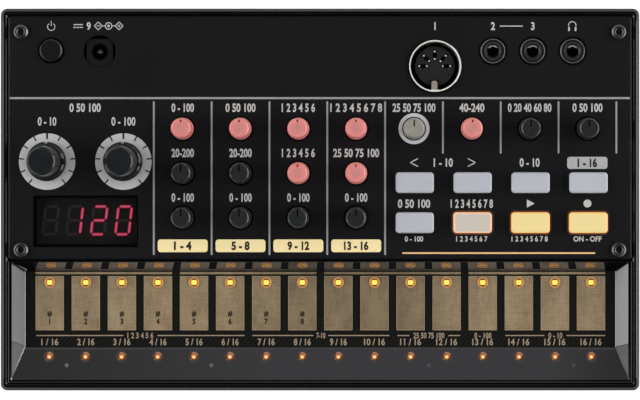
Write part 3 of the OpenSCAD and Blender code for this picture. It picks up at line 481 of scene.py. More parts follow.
class Print:
    """Flat shapes of one ink, gathered into one mesh. Sizes in millimetres.

    They lie at the height z, or as high above the front slope of the recess where it leans.
    """

    def __init__(self, z, leans=False):
        self.mesh = bmesh.new()
        self.z = z
        self.leans = leans

    def point(self, x, y):
        rise = (BOARD_FRONT - y) * (PANEL - BOARD) / (BOARD_FRONT - SLOPE_FRONT)
        return self.mesh.verts.new((x * MM, y * MM, (self.z + rise * self.leans) * MM))

    def face(self, points):
        self.mesh.faces.new([self.point(x, y) for x, y in points])

    def rect(self, x, y, w, h):
        self.face([(x - w / 2, y - h / 2), (x + w / 2, y - h / 2), (x + w / 2, y + h / 2),
                   (x - w / 2, y + h / 2)])

    def line(self, x0, y0, x1, y1, w):
        run = math.hypot(x1 - x0, y1 - y0)
        dx, dy = -(y1 - y0) / run * w / 2, (x1 - x0) / run * w / 2
        self.face([(x0 - dx, y0 - dy), (x1 - dx, y1 - dy), (x1 + dx, y1 + dy),
                   (x0 + dx, y0 + dy)])

    def rounded(self, x, y, w, h, r):
        self.face(outline(x, y, w, h, r))

    def frame(self, x, y, w, h, r, width):
        """A band of the given width round the outside of a rounded rectangle."""
        inner = outline(x, y, w, h, r)
        outer = outline(x, y, w + 2 * width, h + 2 * width, r + width)
        for i in range(len(inner)):
            j = (i + 1) % len(inner)
            self.face([inner[i], outer[i], outer[j], inner[j]])

    def ring(self, x, y, r0, r1, a0=0.0, a1=360.0, steps=72):
        """A ring or a part of one, or a disc if the inner radius is 0."""
        def at(r, i):
            a = math.radians(a0 + (a1 - a0) * i / steps)
            return (x + r * math.cos(a), y + r * math.sin(a))

        for i in range(steps):
            corners = [at(r0, i), at(r1, i), at(r1, i + 1), at(r0, i + 1)]
            self.face(corners if r0 > 0 else corners[:3])

    def text(self, words, x, y, height, squeeze=0.72, width=None, weight=0.03):
        """A line of type centred on x and on its capitals' middle; width sets its whole length."""
        points, faces = set_type(words, weight)
        points = [(px / CAPITAL, py / CAPITAL) for px, py in points]
        low, high = min(p[0] for p in points), max(p[0] for p in points)
        if width:
            squeeze = width / height / (high - low)
        middle = (low + high) / 2
        verts = [self.point(x + (px - middle) * height * squeeze, y + (py - 0.5) * height)
                 for px, py in points]
        for face in faces:
            if len(set(face)) > 2:
                self.mesh.faces.new([verts[i] for i in face])

    def done(self, name, mat, body="case"):
        return add_mesh(name, self.mesh, mat, body)


def outline(x, y, w, h, r):
    """The points of a rounded rectangle."""
    points, steps = [], 6
    for cx, cy, start in ((1, 1, 0), (-1, 1, 90), (-1, -1, 180), (1, -1, 270)):
        for i in range(steps + 1):
            a = math.radians(start + 90 * i / steps)
            points.append((x + cx * (w / 2 - r) + r * math.cos(a),
                           y + cy * (h / 2 - r) + r * math.sin(a)))
    return points


def loop(mesh, x, y, z, radii):
    """Points round an upright axis, each at its own radius."""
    steps = len(radii)
    return [mesh.verts.new(((x + r * math.cos(2 * math.pi * i / steps)) * MM,
                            (y + r * math.sin(2 * math.pi * i / steps)) * MM, z * MM))
            for i, r in enumerate(radii)]


def skin(mesh, loops, closed=True):
    """Joins each loop of points with the next. A loop may be a single point."""
    steps = max(len(points) for points in loops)
    for a, b in zip(loops, loops[1:]):
        for i in range(steps if closed else steps - 1):
            j = (i + 1) % steps
            if len(a) == 1:
                mesh.faces.new([a[0], b[i], b[j]])
            elif len(b) == 1:
                mesh.faces.new([a[i], a[j], b[0]])
            else:
                mesh.faces.new([a[i], a[j], b[j], b[i]])


def lathe(name, x, y, profile, mat, body="case", steps=48):
    """Turns a profile of (radius, height) points round an upright axis."""
    mesh = bmesh.new()
    skin(mesh, [loop(mesh, x, y, z, [r] * (steps if r else 1)) for r, z in profile])
    bmesh.ops.recalc_face_normals(mesh, faces=mesh.faces)
    return add_mesh(name, mesh, mat, body, True)


def fluted(name, x, y, rings, mat, body):
    """A thin fluted sleeve: rings are (height, radius, how deep the flutes are there)."""
    mesh = bmesh.new()
    flutes, depth = 18, 0.16
    steps = flutes * 6
    ridges = [math.sqrt(0.5 + 0.5 * math.cos(flutes * (2 * math.pi * i / steps)))
              for i in range(steps)]
    skin(mesh, [loop(mesh, x, y, z, [r + depth * share * ridge for ridge in ridges])
                for z, r, share in rings])
    return add_mesh(name, mesh, mat, body, True)


# ---- Printing on the control panel ----
INK = PANEL + LAYER
TYPE, SMALL_TYPE, BOX_TYPE = 2.36, 1.5, 2.3
ARROW_Y, BOX_Y, SOCKET_SIGN_Y = 11.2, -14.0, 52.5
DIVIDER_X = [-50.3 + 17.5 * k for k in range(9)]

lines = Print(INK)
lines.line(-94.0, 30.7, 93.8, 30.7, 0.6)
for k, x in enumerate(DIVIDER_X):
    lines.line(x, 29.7, x, -16.75 if k < 5 else 13.95, 0.55)
lines.done("print_lines", mats["grey_ink"])

orange = Print(INK)
orange.line(24.9, -16.2, 83.3, -16.2, 0.5)
orange.done("print_orange_line", mats["orange_ink"])

labels = Print(INK)
TOP_LABELS = [("0 - 100", 6.8), ("0 50 100", 9.1), ("1 2 3 4 5 6", 10.1),
              ("1 2 3 4 5 6 7 8", 15.7), ("25 50 75 100", 13.0), ("40-240", 7.6),
              ("0 20 40 60 80", 13.2), ("0 50 100", 9.1)]
MIDDLE_LABELS = [("20-200", 6.8), ("20-200", 6.8), ("1 2 3 4 5 6", 10.0), ("25 50 75 100", 13.9)]
LOWER_LABELS = [("0 - 100", 6.8)] * 4
for y, row in ((27.8, TOP_LABELS), (14.1, MIDDLE_LABELS), (0.6, LOWER_LABELS)):
    for k, (words, width) in enumerate(row):
        labels.text(words, COLUMN[k], y, TYPE, width=width)
for words, x, y, width in (
        ("0 50 100", -71.1, 27.8, 9.5), ("0 - 10", DIALS[0][0], 23.65, 5.6),
        ("0 - 100", DIALS[1][0], 23.65, 7.3), ("1 - 10", 37.3, ARROW_Y, 5.8),
        ("0 - 10", 63.45, ARROW_Y, 6.05), ("0 50 100", COLUMN[4], -1.25, 9.8),
        ("1 2 3 4 5 6 7 8", COLUMN[5], -1.25, 12.8)):
    labels.text(words, x, y, TYPE, width=width)
for words, x in (("9", -70.0), ("1", DIN[0]), ("2", JACK_X[0]), ("3", JACK_X[1])):
    labels.text(words, x, SOCKET_SIGN_Y, 2.2, squeeze=0.78)
labels.line(54.4, SOCKET_SIGN_Y, 61.4, SOCKET_SIGN_Y, 0.3)
for k, words, width in ((4, "0 - 100", 5.6), (5, "1 2 3 4 5 6 7", 9.5),
                        (6, "1 2 3 4 5 6 7 8", 11.0), (7, "ON - OFF", 8.5)):
    labels.text(words, COLUMN[k], -11.9, SMALL_TYPE, width=width)
# Arrows, play and record signs
for x, side in ((28.5, -1), (45.9, 1)):
    for rise in (1.2, -1.2):
        labels.line(x - side * 1.15, ARROW_Y + rise, x + side * 1.15, ARROW_Y, 0.3)
labels.face([(62.6, -2.45), (64.95, -1.2), (62.6, 0.05)])
labels.ring(80.95, -1.2, 0.0, 1.2, steps=32)
# Power sign
labels.ring(POWER[0], 52.3, 1.0, 1.22, 125.0, 415.0, 48)
labels.line(POWER[0], 52.55, POWER[0], 54.1, 0.22)
# Direct current and polarity signs
labels.line(-74.6, 52.95, -71.8, 52.95, 0.3)
for n in range(3):
    labels.line(-74.6 + 1.0 * n, 52.1, -73.8 + 1.0 * n, 52.1, 0.3)
POLARITY_Y, STROKE = 52.55, 0.26
for x in (-67.1, -60.8):
    corners = [(x - 1.2, POLARITY_Y), (x, POLARITY_Y + 1.2), (x + 1.2, POLARITY_Y),
               (x, POLARITY_Y - 1.2)]
    for a, b in zip(corners, corners[1:] + corners[:1]):
        labels.line(*a, *b, STROKE)
    labels.line(x - 0.45, POLARITY_Y, x + 0.45, POLARITY_Y, STROKE)
labels.line(-60.8, 52.1, -60.8, 53.0, STROKE)
labels.ring(-64.0, POLARITY_Y, 0.85, 1.12, steps=32)
labels.ring(-64.0, POLARITY_Y, 0.0, 0.4, steps=20)
for start, end in ((-65.9, -65.0), (-63.0, -62.0)):
    labels.line(start, POLARITY_Y, end, POLARITY_Y, STROKE)
# Headphones sign
labels.ring(76.35, 52.7, 1.02, 1.26, -15.0, 195.0, 36)
for side in (-1, 1):
    labels.rounded(76.35 + side * 1.0, 51.6, 0.55, 1.25, 0.25)
labels.done("print_labels", mats["label_ink"])

boxes = Print(INK)
for k in range(4):
    boxes.rounded(COLUMN[k], BOX_Y, 15.1, 3.85, 0.85)
boxes.done("print_cream_boxes", mats["cream_ink"])
grey_box = Print(INK)
grey_box.rounded(80.9, 11.1, 12.2, 3.66, 0.85)
grey_box.done("print_grey_box", mats["box_ink"])
box_words = Print(INK + LAYER)
for k, words in enumerate(["1 - 4", "5 - 8", "9 - 12", "13 - 16"]):
    box_words.text(words, COLUMN[k], BOX_Y, BOX_TYPE, width=[5.3, 5.5, 6.6, 7.4][k],
                   weight=0.045)
box_words.text("1 - 16", 80.9, 11.1, BOX_TYPE, width=5.9, weight=0.045)
box_words.done("print_box_words", mats["dark_ink"])

SCALE_R, SCALE_STEP = 8.55, 28
dial_rings = Print(INK)
for x, y in DIALS:
    dial_rings.ring(x, y, 4.6, SCALE_R, steps=96)
dial_rings.ring(*KNOBS[GREY_KNOB], 3.62, 4.7, steps=64)
dial_rings.done("print_rings", mats["ring_ink"])
ticks = Print(INK + LAYER)
for x, y in DIALS:
    for n in range(-5, 6):
        a = math.radians(90 - SCALE_STEP * n)
        deep, wide = (1.7, 0.56) if n == 0 else (1.5, 0.42)
        ticks.line(x + 8.6 * math.cos(a), y + 8.6 * math.sin(a),
                   x + (SCALE_R - deep) * math.cos(a), y + (SCALE_R - deep) * math.sin(a), wide)
ticks.done("print_ticks", mats["black_ink"])

# ---- Printing on the touch board ----
PAD_INK = BOARD + 0.15 + LAYER
PIXELS_PER_MM, LOWER = 3.304, 1.0055


def board_x(pixel):
    """Where on the board, which lies lower than the panel, a column of the picture falls."""
    return (pixel - 320.0) / PIXELS_PER_MM * LOWER


board_words = Print(BOARD + LAYER)
for n, x in enumerate(PAD_X):
    board_words.text("%d / 16" % (n + 1), x, -43.35, 1.85, width=[5.2, 6.4][n > 8])
# Each group of pads: the number under it, and the rules to its left and right, in pixels
RULE_Y = -41.4
GROUPS = [("1 2 3 4 5 6", 125, 155, [(36, 123), (157, 244)]),
          ("7-10", 314, 327, [(252, 313), (328, 389)]),
          ("25 50 75 100", 411, 446, [(397, 409), (448, 460)]),
          ("0 - 100", 472, 493, []),
          ("0 - 10", 546, 564, [(505, 544), (566, 605)])]
for words, start, end, rules in GROUPS:
    board_words.text(words, board_x((start + end) / 2), RULE_Y, 1.6,
                     width=board_x(end) - board_x(start) - 1.2)
    for a, b in rules:
        board_words.line(board_x(a), RULE_Y, board_x(b), RULE_Y, 0.32)
board_words.done("print_board_words", mats["board_ink"])
pad_marks = Print(PAD_INK)
for n in range(8):
    pad_marks.text("#", PAD_X[n], -34.7, 1.5, width=1.4, weight=0.045)
    pad_marks.text(str(n + 1), PAD_X[n], -37.1, 1.6, squeeze=0.8, weight=0.045)
pad_marks.done("print_pad_marks", mats["dark_ink"])
pad_edges = Print(PAD_INK)
INSET = 0.3
for x in PAD_X:
    pad_edges.frame(x, (PAD_REAR + PAD_FRONT) / 2, PAD_W - INSET, PAD_REAR - PAD_FRONT - INSET,
                    0.05, 0.14)
pad_edges.done("pad_edges", mats["pad_edge"])

# ---- Lamps in the pads: a bright square at the bottom of a ring ----
lamp_parts = {
    "cores": (Print(BOARD + 0.24), light_up("lamp_core", tone(255, 236, 105), 1.1)),
    "halos": (Print(BOARD + 0.21), light_up("lamp_halo", tone(255, 205, 95))),
    "dark": (Print(BOARD + 0.18), light_up("lamp_dark", tone(84, 40, 4))),
    "warm": (Print(BOARD + 0.18), light_up("lamp_warm", tone(176, 116, 38))),
}
for x in PAD_X:
    lamp_parts["cores"][0].rounded(x, PAD_LAMP_Y, 1.25, 1.15, 0.3)
    lamp_parts["halos"][0].rounded(x, PAD_LAMP_Y, 1.67, 1.55, 0.4)
    for part, start, end in (("warm", -45, 45), ("dark", 45, 135), ("warm", 135, 225),
                             ("dark", 225, 315)):
        lamp_parts[part][0].ring(x, PAD_LAMP_Y, 0.0, 1.3, start, end, 8)
for part, (layer, mat) in lamp_parts.items():
    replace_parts(layer.done("pad_lamp_" + part, mat), "pad_leds")
lamp_ring = light_up("lamp_ring", tone(200, 146, 92), 0.75)
for n, x in enumerate(PAD_X):
    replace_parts(lathe("pad_lamp_ring_%02d" % (n + 1), x, PAD_LAMP_Y,
                      [(1.25, BOARD + 0.17), (1.28, BOARD + 0.55), (1.4, BOARD + 0.66),
                       (1.55, BOARD + 0.55), (1.64, BOARD + 0.17)], lamp_ring, steps=32),
                "pad_leds")

COLLAR_LOW, COLLAR_HIGH = BOARD + 0.2, BOARD + 0.62
collars = []
for x in PAD_X:
    corners = [(x + sx * 0.68, PAD_LAMP_Y + sy * 0.63)
               for sx, sy in ((-1, -1), (1, -1), (1, 1), (-1, 1))]
    collars += [[(*a, COLLAR_LOW), (*b, COLLAR_LOW), (*b, COLLAR_HIGH), (*a, COLLAR_HIGH)]
                for a, b in zip(corners, corners[1:] + corners[:1])]
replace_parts(film("pad_lamp_collars", collars, light_up("lamp_collar", tone(196, 104, 40), 0.8)),
            "pad_leds")

# ---- Lamps in the front slope ----
LAMP_TOP = BOARD + (PANEL - BOARD) * (BOARD_FRONT - FRONT_LAMP_Y) / (BOARD_FRONT - SLOPE_FRONT)
front_body = light_up("front_lamp_body", tone(150, 84, 40), 0.8)
for n, x in enumerate(PAD_X):
    shell = lathe("front_lamp_%02d" % (n + 1), x, FRONT_LAMP_Y,
                  [(1.05, BOARD), (1.05, LAMP_TOP - 0.55), (0.9, LAMP_TOP - 0.3),
                   (0.6, LAMP_TOP - 0.1), (0.3, LAMP_TOP - 0.02), (0.0, LAMP_TOP)],
                  front_body, steps=24)
    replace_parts(shell, "front_leds")
for height, colour, name, radius, shift in (
        (0.02, tone(205, 128, 70), "front_lamp_glows", 0.68, -0.1),
        (0.05, tone(255, 213, 150), "front_lamp_cores", 0.42, -0.15)):
    layer = Print(LAMP_TOP + height)
    for x in PAD_X:
        layer.ring(x, FRONT_LAMP_Y + shift, 0.0, radius, steps=20)
    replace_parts(layer.done(name, light_up(name, colour)), "front_leds")
# Painted lamp light on the slope: a warm ring round each lamp and bright crescents at its hole
glow, crescent = Print(BOARD + LAYER, True), Print(BOARD + 2 * LAYER, True)
for x in PAD_X:
    glow.ring(x, FRONT_LAMP_Y, 1.12, 1.7, steps=32)
    crescent.ring(x, FRONT_LAMP_Y, 1.0, 1.26, 20.0, 120.0, 16)
    crescent.ring(x, FRONT_LAMP_Y, 1.05, 1.22, 215.0, 240.0, 6)
glow.done("front_lamp_light", material("lamp_light", tone(62, 44, 38), tone(54, 38, 33), 900.0,
                                       (0.2, 0.3), 2000.0, 0.002))
crescent.done("front_lamp_crescents", light_up("lamp_crescent", tone(190, 140, 104), 0.6))

# ---- Painted highlight on the lower edge of the front slope, and faint round marks on it ----
foot = Print(BOARD + LAYER, True)
foot.rect(0.0, BOARD_FRONT - 0.4, 2 * CHEEK_IN, 0.55)
foot.done("slope_foot", material("slope_foot", tone(44, 44, 46), tone(38, 38, 40), 300.0,
                                 (0.2, 0.3), 900.0, 0.002))
marks = Print(BOARD + LAYER, True)
for x in (-76.9, -33.0, 33.0, 76.9):
    marks.ring(x, -50.3, 0.0, 0.6, steps=24)
marks.done("slope_marks", two_ends("slope_mark", tone(92, 92, 94), tone(54, 54, 56)))

# ---- Rear slope of the recess: a dark mirror, its dark ends and a short line of light ----
FILM_END = 86.8
OFF_SLOPE = Vector((0.0, BOARD - PANEL, SLOPE_REAR - BOARD_REAR)).normalized() * 0.02


def on_rear_slope(name, faces, mat, layers=1):
    """Thin faces laid on the rear slope. Points are (x, y)."""
    steep = 1.5
    return film(name, [[(x, y + layers * OFF_SLOPE.y,
                         PANEL - (SLOPE_REAR - y) * steep + layers * OFF_SLOPE.z)
                        for x, y in face] for face in faces], mat)


on_rear_slope("rear_slope_film", [[(-FILM_END, SLOPE_REAR), (FILM_END, SLOPE_REAR),
                                   (FILM_END, BOARD_REAR), (-FILM_END, BOARD_REAR)]],
              mats["mirror"])
# Painted reflection: the slope's ends are painted dark; below them a short painted highlight
on_rear_slope("rear_slope_ends", [[(side * FILM_END, SLOPE_REAR), (side * CHEEK_OUT, SLOPE_REAR),
                                   (side * CHEEK_IN, BOARD_REAR),
                                   (side * FILM_END, BOARD_REAR)][::side] for side in (-1, 1)],
              mats["gap"])
on_rear_slope("rear_slope_end_light", [[(-91.9, -19.75), (-89.4, -21.5), (-89.1, -21.2)]],
              mats["cheek_edge"], 2)

# ---- End cheeks: painted highlights on edges, a painted reflection with a darker front face ----


def on_cheeks(name, shape, mat):
    """A thin face on each cheek. Its points, from shape(side), are (off the middle, y, z)."""
    off_x, off_z = 0.02 * (PANEL - BOARD) / 4, 0.02 * (CHEEK_OUT - CHEEK_IN) / 4
    return film(name, [[(side * (x - off_x), y, z + off_z) for x, y, z in shape(side)]
                       for side in (-1, 1)], mat)


def strip(a, b, width):
    """A narrow band from a to b, which widens towards the middle of the cheek."""
    middle = Vector(((CHEEK_OUT + CHEEK_IN) / 2, (BOARD_FRONT + BOARD_REAR) / 2,
                     (PANEL + BOARD) / 2))
    a, b = Vector(a), Vector(b)
    along = (b - a).normalized()
    out = (middle - a) - along * (middle - a).dot(along)
    out = out.normalized() * width
    return [a, b, b + out, a + out]


rear_top, rear_low = (CHEEK_OUT, SLOPE_REAR, PANEL), (CHEEK_IN, BOARD_REAR, BOARD)
front_top, front_low = (CHEEK_OUT, SLOPE_FRONT, PANEL), (CHEEK_IN, BOARD_FRONT, BOARD)
reflection_line_top = {-1: (CHEEK_OUT, -42.96, PANEL), 1: (CHEEK_OUT, -43.87, PANEL)}
rear_shade = {-1: 0.55, 1: 0.36}
# Painted reflection: the face in front of a dark line is darker; painted shade along the rear edge
on_cheeks("cheek_fronts", lambda side: (reflection_line_top[side], front_top, front_low),
          two_ends("cheek_front", tone(54, 54, 57), tone(66, 66, 69)))
on_cheeks("cheek_reflection_lines", lambda side: strip(front_low, reflection_line_top[side], 0.3),
          mats["cheek_reflection_line"])
on_cheeks("cheek_edges", lambda side: strip(rear_low, front_low, 0.25), mats["cheek_edge"])
on_cheeks("cheek_front_edges", lambda side: strip(front_top, front_low, 0.45),
          two_ends("cheek_front_edge", tone(204, 204, 206), tone(90, 90, 92)))
on_cheeks("cheek_rear_shade", lambda side: strip(rear_top, rear_low, rear_shade[side]),
          material("cheek_rear", tone(20, 20, 21), tone(17, 17, 18), 400.0, (0.4, 0.5), 2000.0,
                   0.002, level=0.2))

# ---- Digits ----
DIGIT_TOP = 28.95
SEGMENTS = {"": "", "0": "abcdef", "1": "bc", "2": "abged"}
heart, lit, unlit = Print(DIGIT_TOP + 0.02), Print(DIGIT_TOP), Print(DIGIT_TOP)


def digit(x, y, lit_ones):
    """Seven segments. A lit one has a brighter heart."""
    wide, high, gap = 4.05, 8.45, 0.14
    lean = math.tan(math.radians(6.5))

    def bar(x0, y0, x1, y1, target, breadth, inset):
        run = math.hypot(x1 - x0, y1 - y0)
        ux, uy = (x1 - x0) / run, (y1 - y0) / run
        half = breadth / 2
        a, b = gap + inset, run - gap - inset
        shape = [(a, 0), (a + half, -half), (b - half, -half), (b, 0), (b - half, half),
                 (a + half, half)]
        points = [(x0 + ux * s - uy * t, y0 + uy * s + ux * t) for s, t in shape]
        target.face([(x + px + py * lean, y + py) for px, py in points])

    w, h = wide / 2, high / 2
    ends = {"a": (-w, h, w, h), "b": (w, h, w, 0), "c": (w, 0, w, -h), "d": (-w, -h, w, -h),
            "e": (-w, 0, -w, -h), "f": (-w, h, -w, 0), "g": (-w, 0, w, 0)}
    for name, (x0, y0, x1, y1) in ends.items():
        if name in lit_ones:
            bar(x0, y0, x1, y1, lit, 1.04, 0.0)
            bar(x0, y0, x1, y1, heart, 0.6, 0.18)
        else:
            bar(x0, y0, x1, y1, unlit, 0.9, 0.0)


for x, sign in ((-81.9, ""), (-74.6, "1"), (-67.2, "2"), (-59.75, "0")):
    digit(x, -6.35, SEGMENTS[sign])
for layer, name, mat in (
        (heart, "digits_heart", light_up("digit_heart", tone(238, 104, 138), 1.2)),
        (lit, "digits_lit", light_up("digit_lit", tone(158, 22, 52), 1.35)),
        (unlit, "digits_unlit", material("digit_unlit", tone(102, 98, 98), tone(94, 90, 90), 300.0,
                                         (0.5, 0.6), 2600.0, 0.01, level=0.2))):
    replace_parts(layer.done(name, mat), "display_segments")

# ---- Light that the lit caps throw on the panel ----
gap_light, near_light = Print(PANEL - 0.6), Print(INK)
for k in (5, 6, 7):
    gap_light.frame(BUTTON_X[k], BUTTON_Y[1], BUTTON_W + 0.1, BUTTON_D + 0.1, 1.0, 0.24)
    near_light.frame(BUTTON_X[k], BUTTON_Y[1], BUTTON_W + 0.6, BUTTON_D + 0.6, 1.3, 0.3)
gap_light.done("button_gap_light", light_up("glow_gap", tone(128, 62, 14), 0.8))
near_light.done("button_panel_light", material("glow_near", tone(46, 32, 26), tone(42, 29, 23),
                                               grain=2600.0, bump=0.01,
                                               glow=tone(90, 45, 16), strength=0.3))

# ---- Knobs ----
KNOB_TOP = 40.0
BODY_OF = {node: body for body, nodes in frame["record"]["behaviour"]["bodies"].items()
           for node in nodes}
SLEEVE = [(33.7, 3.03, 0.0), (34.0, 3.01, 1.0), (39.0, 2.94, 1.0), (39.45, 2.93, 0.2),
          (39.6, 2.92, 0.0)]
for node, (x, y) in KNOBS.items():
    coral, body = node in CORAL, BODY_OF[node]
    mat = mats["knob_coral" if coral else "knob_grey" if node == GREY_KNOB else "knob_black"]
    fluted(node + "_flutes", x, y, SLEEVE, mat, body)
    # A dark print in the pointer groove: painted shade, darker coral on the coral knobs
    groove = Print(KNOB_TOP - 0.38)
    reach = 0.8 if coral else 2.1
    groove.rect(x, y + 2.55 - reach / 2, 0.38, reach - 0.02)
    groove.done(node + "_groove", mats["coral_groove" if coral else "gap"], body)
    if coral:
        cap, notch = Print(KNOB_TOP + LAYER / 2), Print(KNOB_TOP + LAYER / 2)
        cap.ring(x, y, 0.0, 1.4, steps=40)
        cap.done(node + "_middle", mats["coral_middle"], body)
        notch.rect(x, y + 2.25, 0.56, 0.5)
        notch.done(node + "_notch", mats["coral_groove"], body)

# A dark, nearly matt cone over each dial's side: painted shade
dial_wall = material("dial_wall", tone(14, 15, 16), tone(11, 12, 13), 300.0, (0.12, 0.2), 1500.0,
                     0.0008, level=0.03)
for node, (x, y) in zip(("left_dial_knob", "right_dial_knob"), DIALS):
    lathe(node + "_wall", x, y, [(4.27, 45.5), (5.02, 35.32)], dial_wall, BODY_OF[node], 64)

# ---- Painted shade in the gaps round the controls and sockets, and painted shadow round them ----
gaps, shades = Print(PANEL - 1.2), Print(INK)
for node, place in KNOBS.items():
    gaps.ring(*place, 3.3, 3.62, steps=48)
    if node != GREY_KNOB:
        shades.ring(*place, 3.6, 3.85, steps=48)
gaps.ring(*POWER, 3.4, 3.88, steps=48)
gaps.ring(*DIN, 7.95, 8.28)
for x in JACK_X:
    gaps.ring(x, JACK_Y, 3.9, 4.23, steps=48)
    shades.ring(x, JACK_Y, 4.02, 4.42, steps=48)
shades.ring(*POWER, 3.82, 4.02, steps=48)
gaps.done("panel_gaps", mats["gap"])
shades.done("panel_shades", mats["gap"])

# ---- Painted shade in the sockets of the panel screws ----
wells = Print(PANEL + 0.62)
for x, y in SCREWS:
    wells.ring(x, y, 0.0, 1.0, steps=6)
wells.done("screw_wells", mats["screw_socket"])

# ---- Painted highlights on narrow edges: the keyboard's lip, the panel's sides and the rim ----
LIP_FRONT = 94.2
side_light, front_light, lip_edge, rim_light = [Print(INK) for _ in range(4)]
for side in (-1, 1):
    side_light.line(side * 94.25, -55.4, side * 94.25, -18.8, 0.24)
    front_light.line(side * 94.1, -17.6, side * 94.1, 55.0, 0.3)
front_light.line(-LIP_FRONT, -55.25, LIP_FRONT, -55.25, 0.14)
# A lighter line of the panel's coat on the rim in front of the lip: a painted highlight
lip_edge.line(-LIP_FRONT, -55.98, LIP_FRONT, -55.98, 0.28)
for x, width in ((-95.78, 0.14), (95.83, 0.22)):
    rim_light.line(x, -54.0, x, 54.0, width)
lip_edge.done("lip_front_edge", mats["panel"])
rim_light.done("rim_edge_light", two_ends("rim_light", tone(92, 92, 94), tone(122, 122, 124)))
side_light.done("lip_side_light", two_ends("lip_light", tone(78, 78, 80), tone(70, 70, 72)))
front_light.done("lip_front_light", material("edge_light", tone(66, 66, 68), tone(54, 54, 56),
                                             300.0, (0.2, 0.3), 900.0, 0.002))

# ---- Round socket: its key and contact tips, with painted shade on its ring, key and slots ----
DIN_TOP, KEY_TOP, CONTACT_TOP, TIP_Z = PANEL + 0.9 + LAYER, PANEL + 0.2 + LAYER, 31.4, 31.45
KEY_REAR, KEY_FRONT = 36.05, 33.2
shade = Print(DIN_TOP)
shade.ring(*DIN, 7.15, 7.4, -81.0, 261.0, 64)
shade.ring(*DIN, 7.82, 7.99, 50.0, 320.0, 64)
shade.done("din_ring_shade", mats["gap"])
key = Print(KEY_TOP)
key.rounded(DIN[0], DIN[1] - 5.8, 2.0, 2.6, 0.5)
key.done("din_key_face", material("key_face", tone(160, 147, 138), tone(142, 130, 122), 500.0,
                                  (0.25, 0.35), 2500.0, 0.003))
key_shade = Print(KEY_TOP + LAYER)
for off, width in ((0.95, 0.4), (-1.22, 0.26)):
    key_shade.line(DIN[0] + off, KEY_FRONT, DIN[0] + off, KEY_REAR, width)
key_shade.face([(DIN[0] - 1.1, 35.5), (DIN[0] - 0.4, KEY_REAR), (DIN[0] - 1.1, KEY_REAR)])
key_shade.face([(DIN[0] + 0.8, KEY_REAR), (DIN[0] + 0.1, KEY_REAR), (DIN[0] + 0.8, 35.5)])
key_shade.done("din_key_shade", mats["gap"])
tips, slots = bmesh.new(), Print(CONTACT_TOP + LAYER)
for n in range(5):
    dx, dy = math.cos(math.radians(45 * n)), math.sin(math.radians(45 * n))
    x, y = DIN[0] - 0.06 + 3.55 * dx, DIN[1] + 3.3 * dy
    slots.ring(x, y, 0.0, 0.72, steps=24)
    slots.line(x - 1.75 * dx, y - 1.75 * dy, x + 1.75 * dx, y + 1.75 * dy, 0.64)
    for r in (-1.15, 1.15):
        spot = Matrix.Translation(((x + r * dx) * MM, (y + r * dy) * MM, TIP_Z * MM))
        bmesh.ops.create_uvsphere(tips, u_segments=12, v_segments=6, radius=0.24 * MM,
                                  matrix=spot)
slots.done("din_contact_slots", mats["gap"])
add_mesh("din_contact_tips", tips, mats["tip"], smooth=True)

# ---- Power socket: a painted glint on its pin, and painted shade at the edge of its hole ----
PIN = (-66.6, 44.62)
glint = Print(30.6 + LAYER)
glint.line(-67.5, 44.6, -65.8, 44.6, 0.26)
glint.line(PIN[0], 44.2, PIN[0], 45.4, 0.3)
glint.done("power_pin_glint", material("pin_glint", tone(112, 110, 106), tone(92, 90, 87), 500.0,
                                       (0.4, 0.5), 2500.0, 0.002, level=0.2))
plug_hole = Print(31.6 + LAYER)
plug_hole.ring(*PIN, 2.2, 2.5, steps=64)
plug_hole.done("power_socket_shade", mats["gap"])

# ---- Mini jacks: a bright leaf inside, a tongue, and painted highlights on the bush's edges ----
LEAF = [(31.3, 0.0), (30.6, 0.35), (29.0, 0.45), (26.0, 0.3)]
for n, x in enumerate(JACK_X):
    leaf = bmesh.new()
    rows = []
    for z, out in LEAF:
        row = []
        for i in range(9):
            a = math.radians(52 + 76 * i / 8)
            r = 1.78 - out * (0.6 + 0.4 * math.sin(math.pi * i / 8))
            row.append(leaf.verts.new(((x + r * math.cos(a)) * MM,
                                       (JACK_Y + r * math.sin(a)) * MM, z * MM)))
        rows.append(row)
    skin(leaf, rows, closed=False)
    add_mesh("jack_leaf_%d" % (n + 1), leaf, mats["contact"], smooth=True)
tongues, throats = Print(31.7), Print(32.3 + LAYER)
for n, x in enumerate(JACK_X):
    tongues.ring(x, JACK_Y, 1.36, 1.78, 40.0, 140.0, 20)
    throats.ring(x, JACK_Y, 2.3, 2.75, steps=48)
    lathe("jack_bush_edge_%d" % (n + 1), x, JACK_Y, [(3.44, 32.34), (3.7, 32.08)],
          mats["bush_edge"])
tongues.done("jack_tongues", material("tongue", tone(178, 177, 172), tone(150, 149, 145), 500.0,
                                      (0.15, 0.25), 2500.0, 0.002, metal=0.1))
throats.done("jack_bush_throats", mats["bush_throat"])

# ---- Floor, light, camera ----
FLOOR_HALF, FLOOR_Z = 3.0, -0.00005
floor = bmesh.new()
floor.faces.new([floor.verts.new((sx * FLOOR_HALF, sy * FLOOR_HALF, FLOOR_Z))
                 for sx, sy in ((-1, -1), (1, -1), (1, 1), (-1, 1))])
floor_mat, tree, bsdf = shader("floor_white")
tree.nodes.remove(bsdf)
diffuse = tree.nodes.new("ShaderNodeBsdfDiffuse")
diffuse.inputs["Color"].default_value = (0.6, 0.6, 0.6, 1.0)
path = tree.nodes.new("ShaderNodeLightPath")
seen = calculate(tree, "MAXIMUM", path.outputs["Is Camera Ray"], path.outputs["Is Glossy Ray"])
seen = calculate(tree, "MAXIMUM", seen, path.outputs["Is Transmission Ray"])
own_light = tree.nodes.new("ShaderNodeEmission")
tree.links.new(calculate(tree, "MULTIPLY", seen, 0.7), own_light.inputs["Strength"])
both = tree.nodes.new("ShaderNodeAddShader")
tree.links.new(diffuse.outputs[0], both.inputs[0])
tree.links.new(own_light.outputs[0], both.inputs[1])
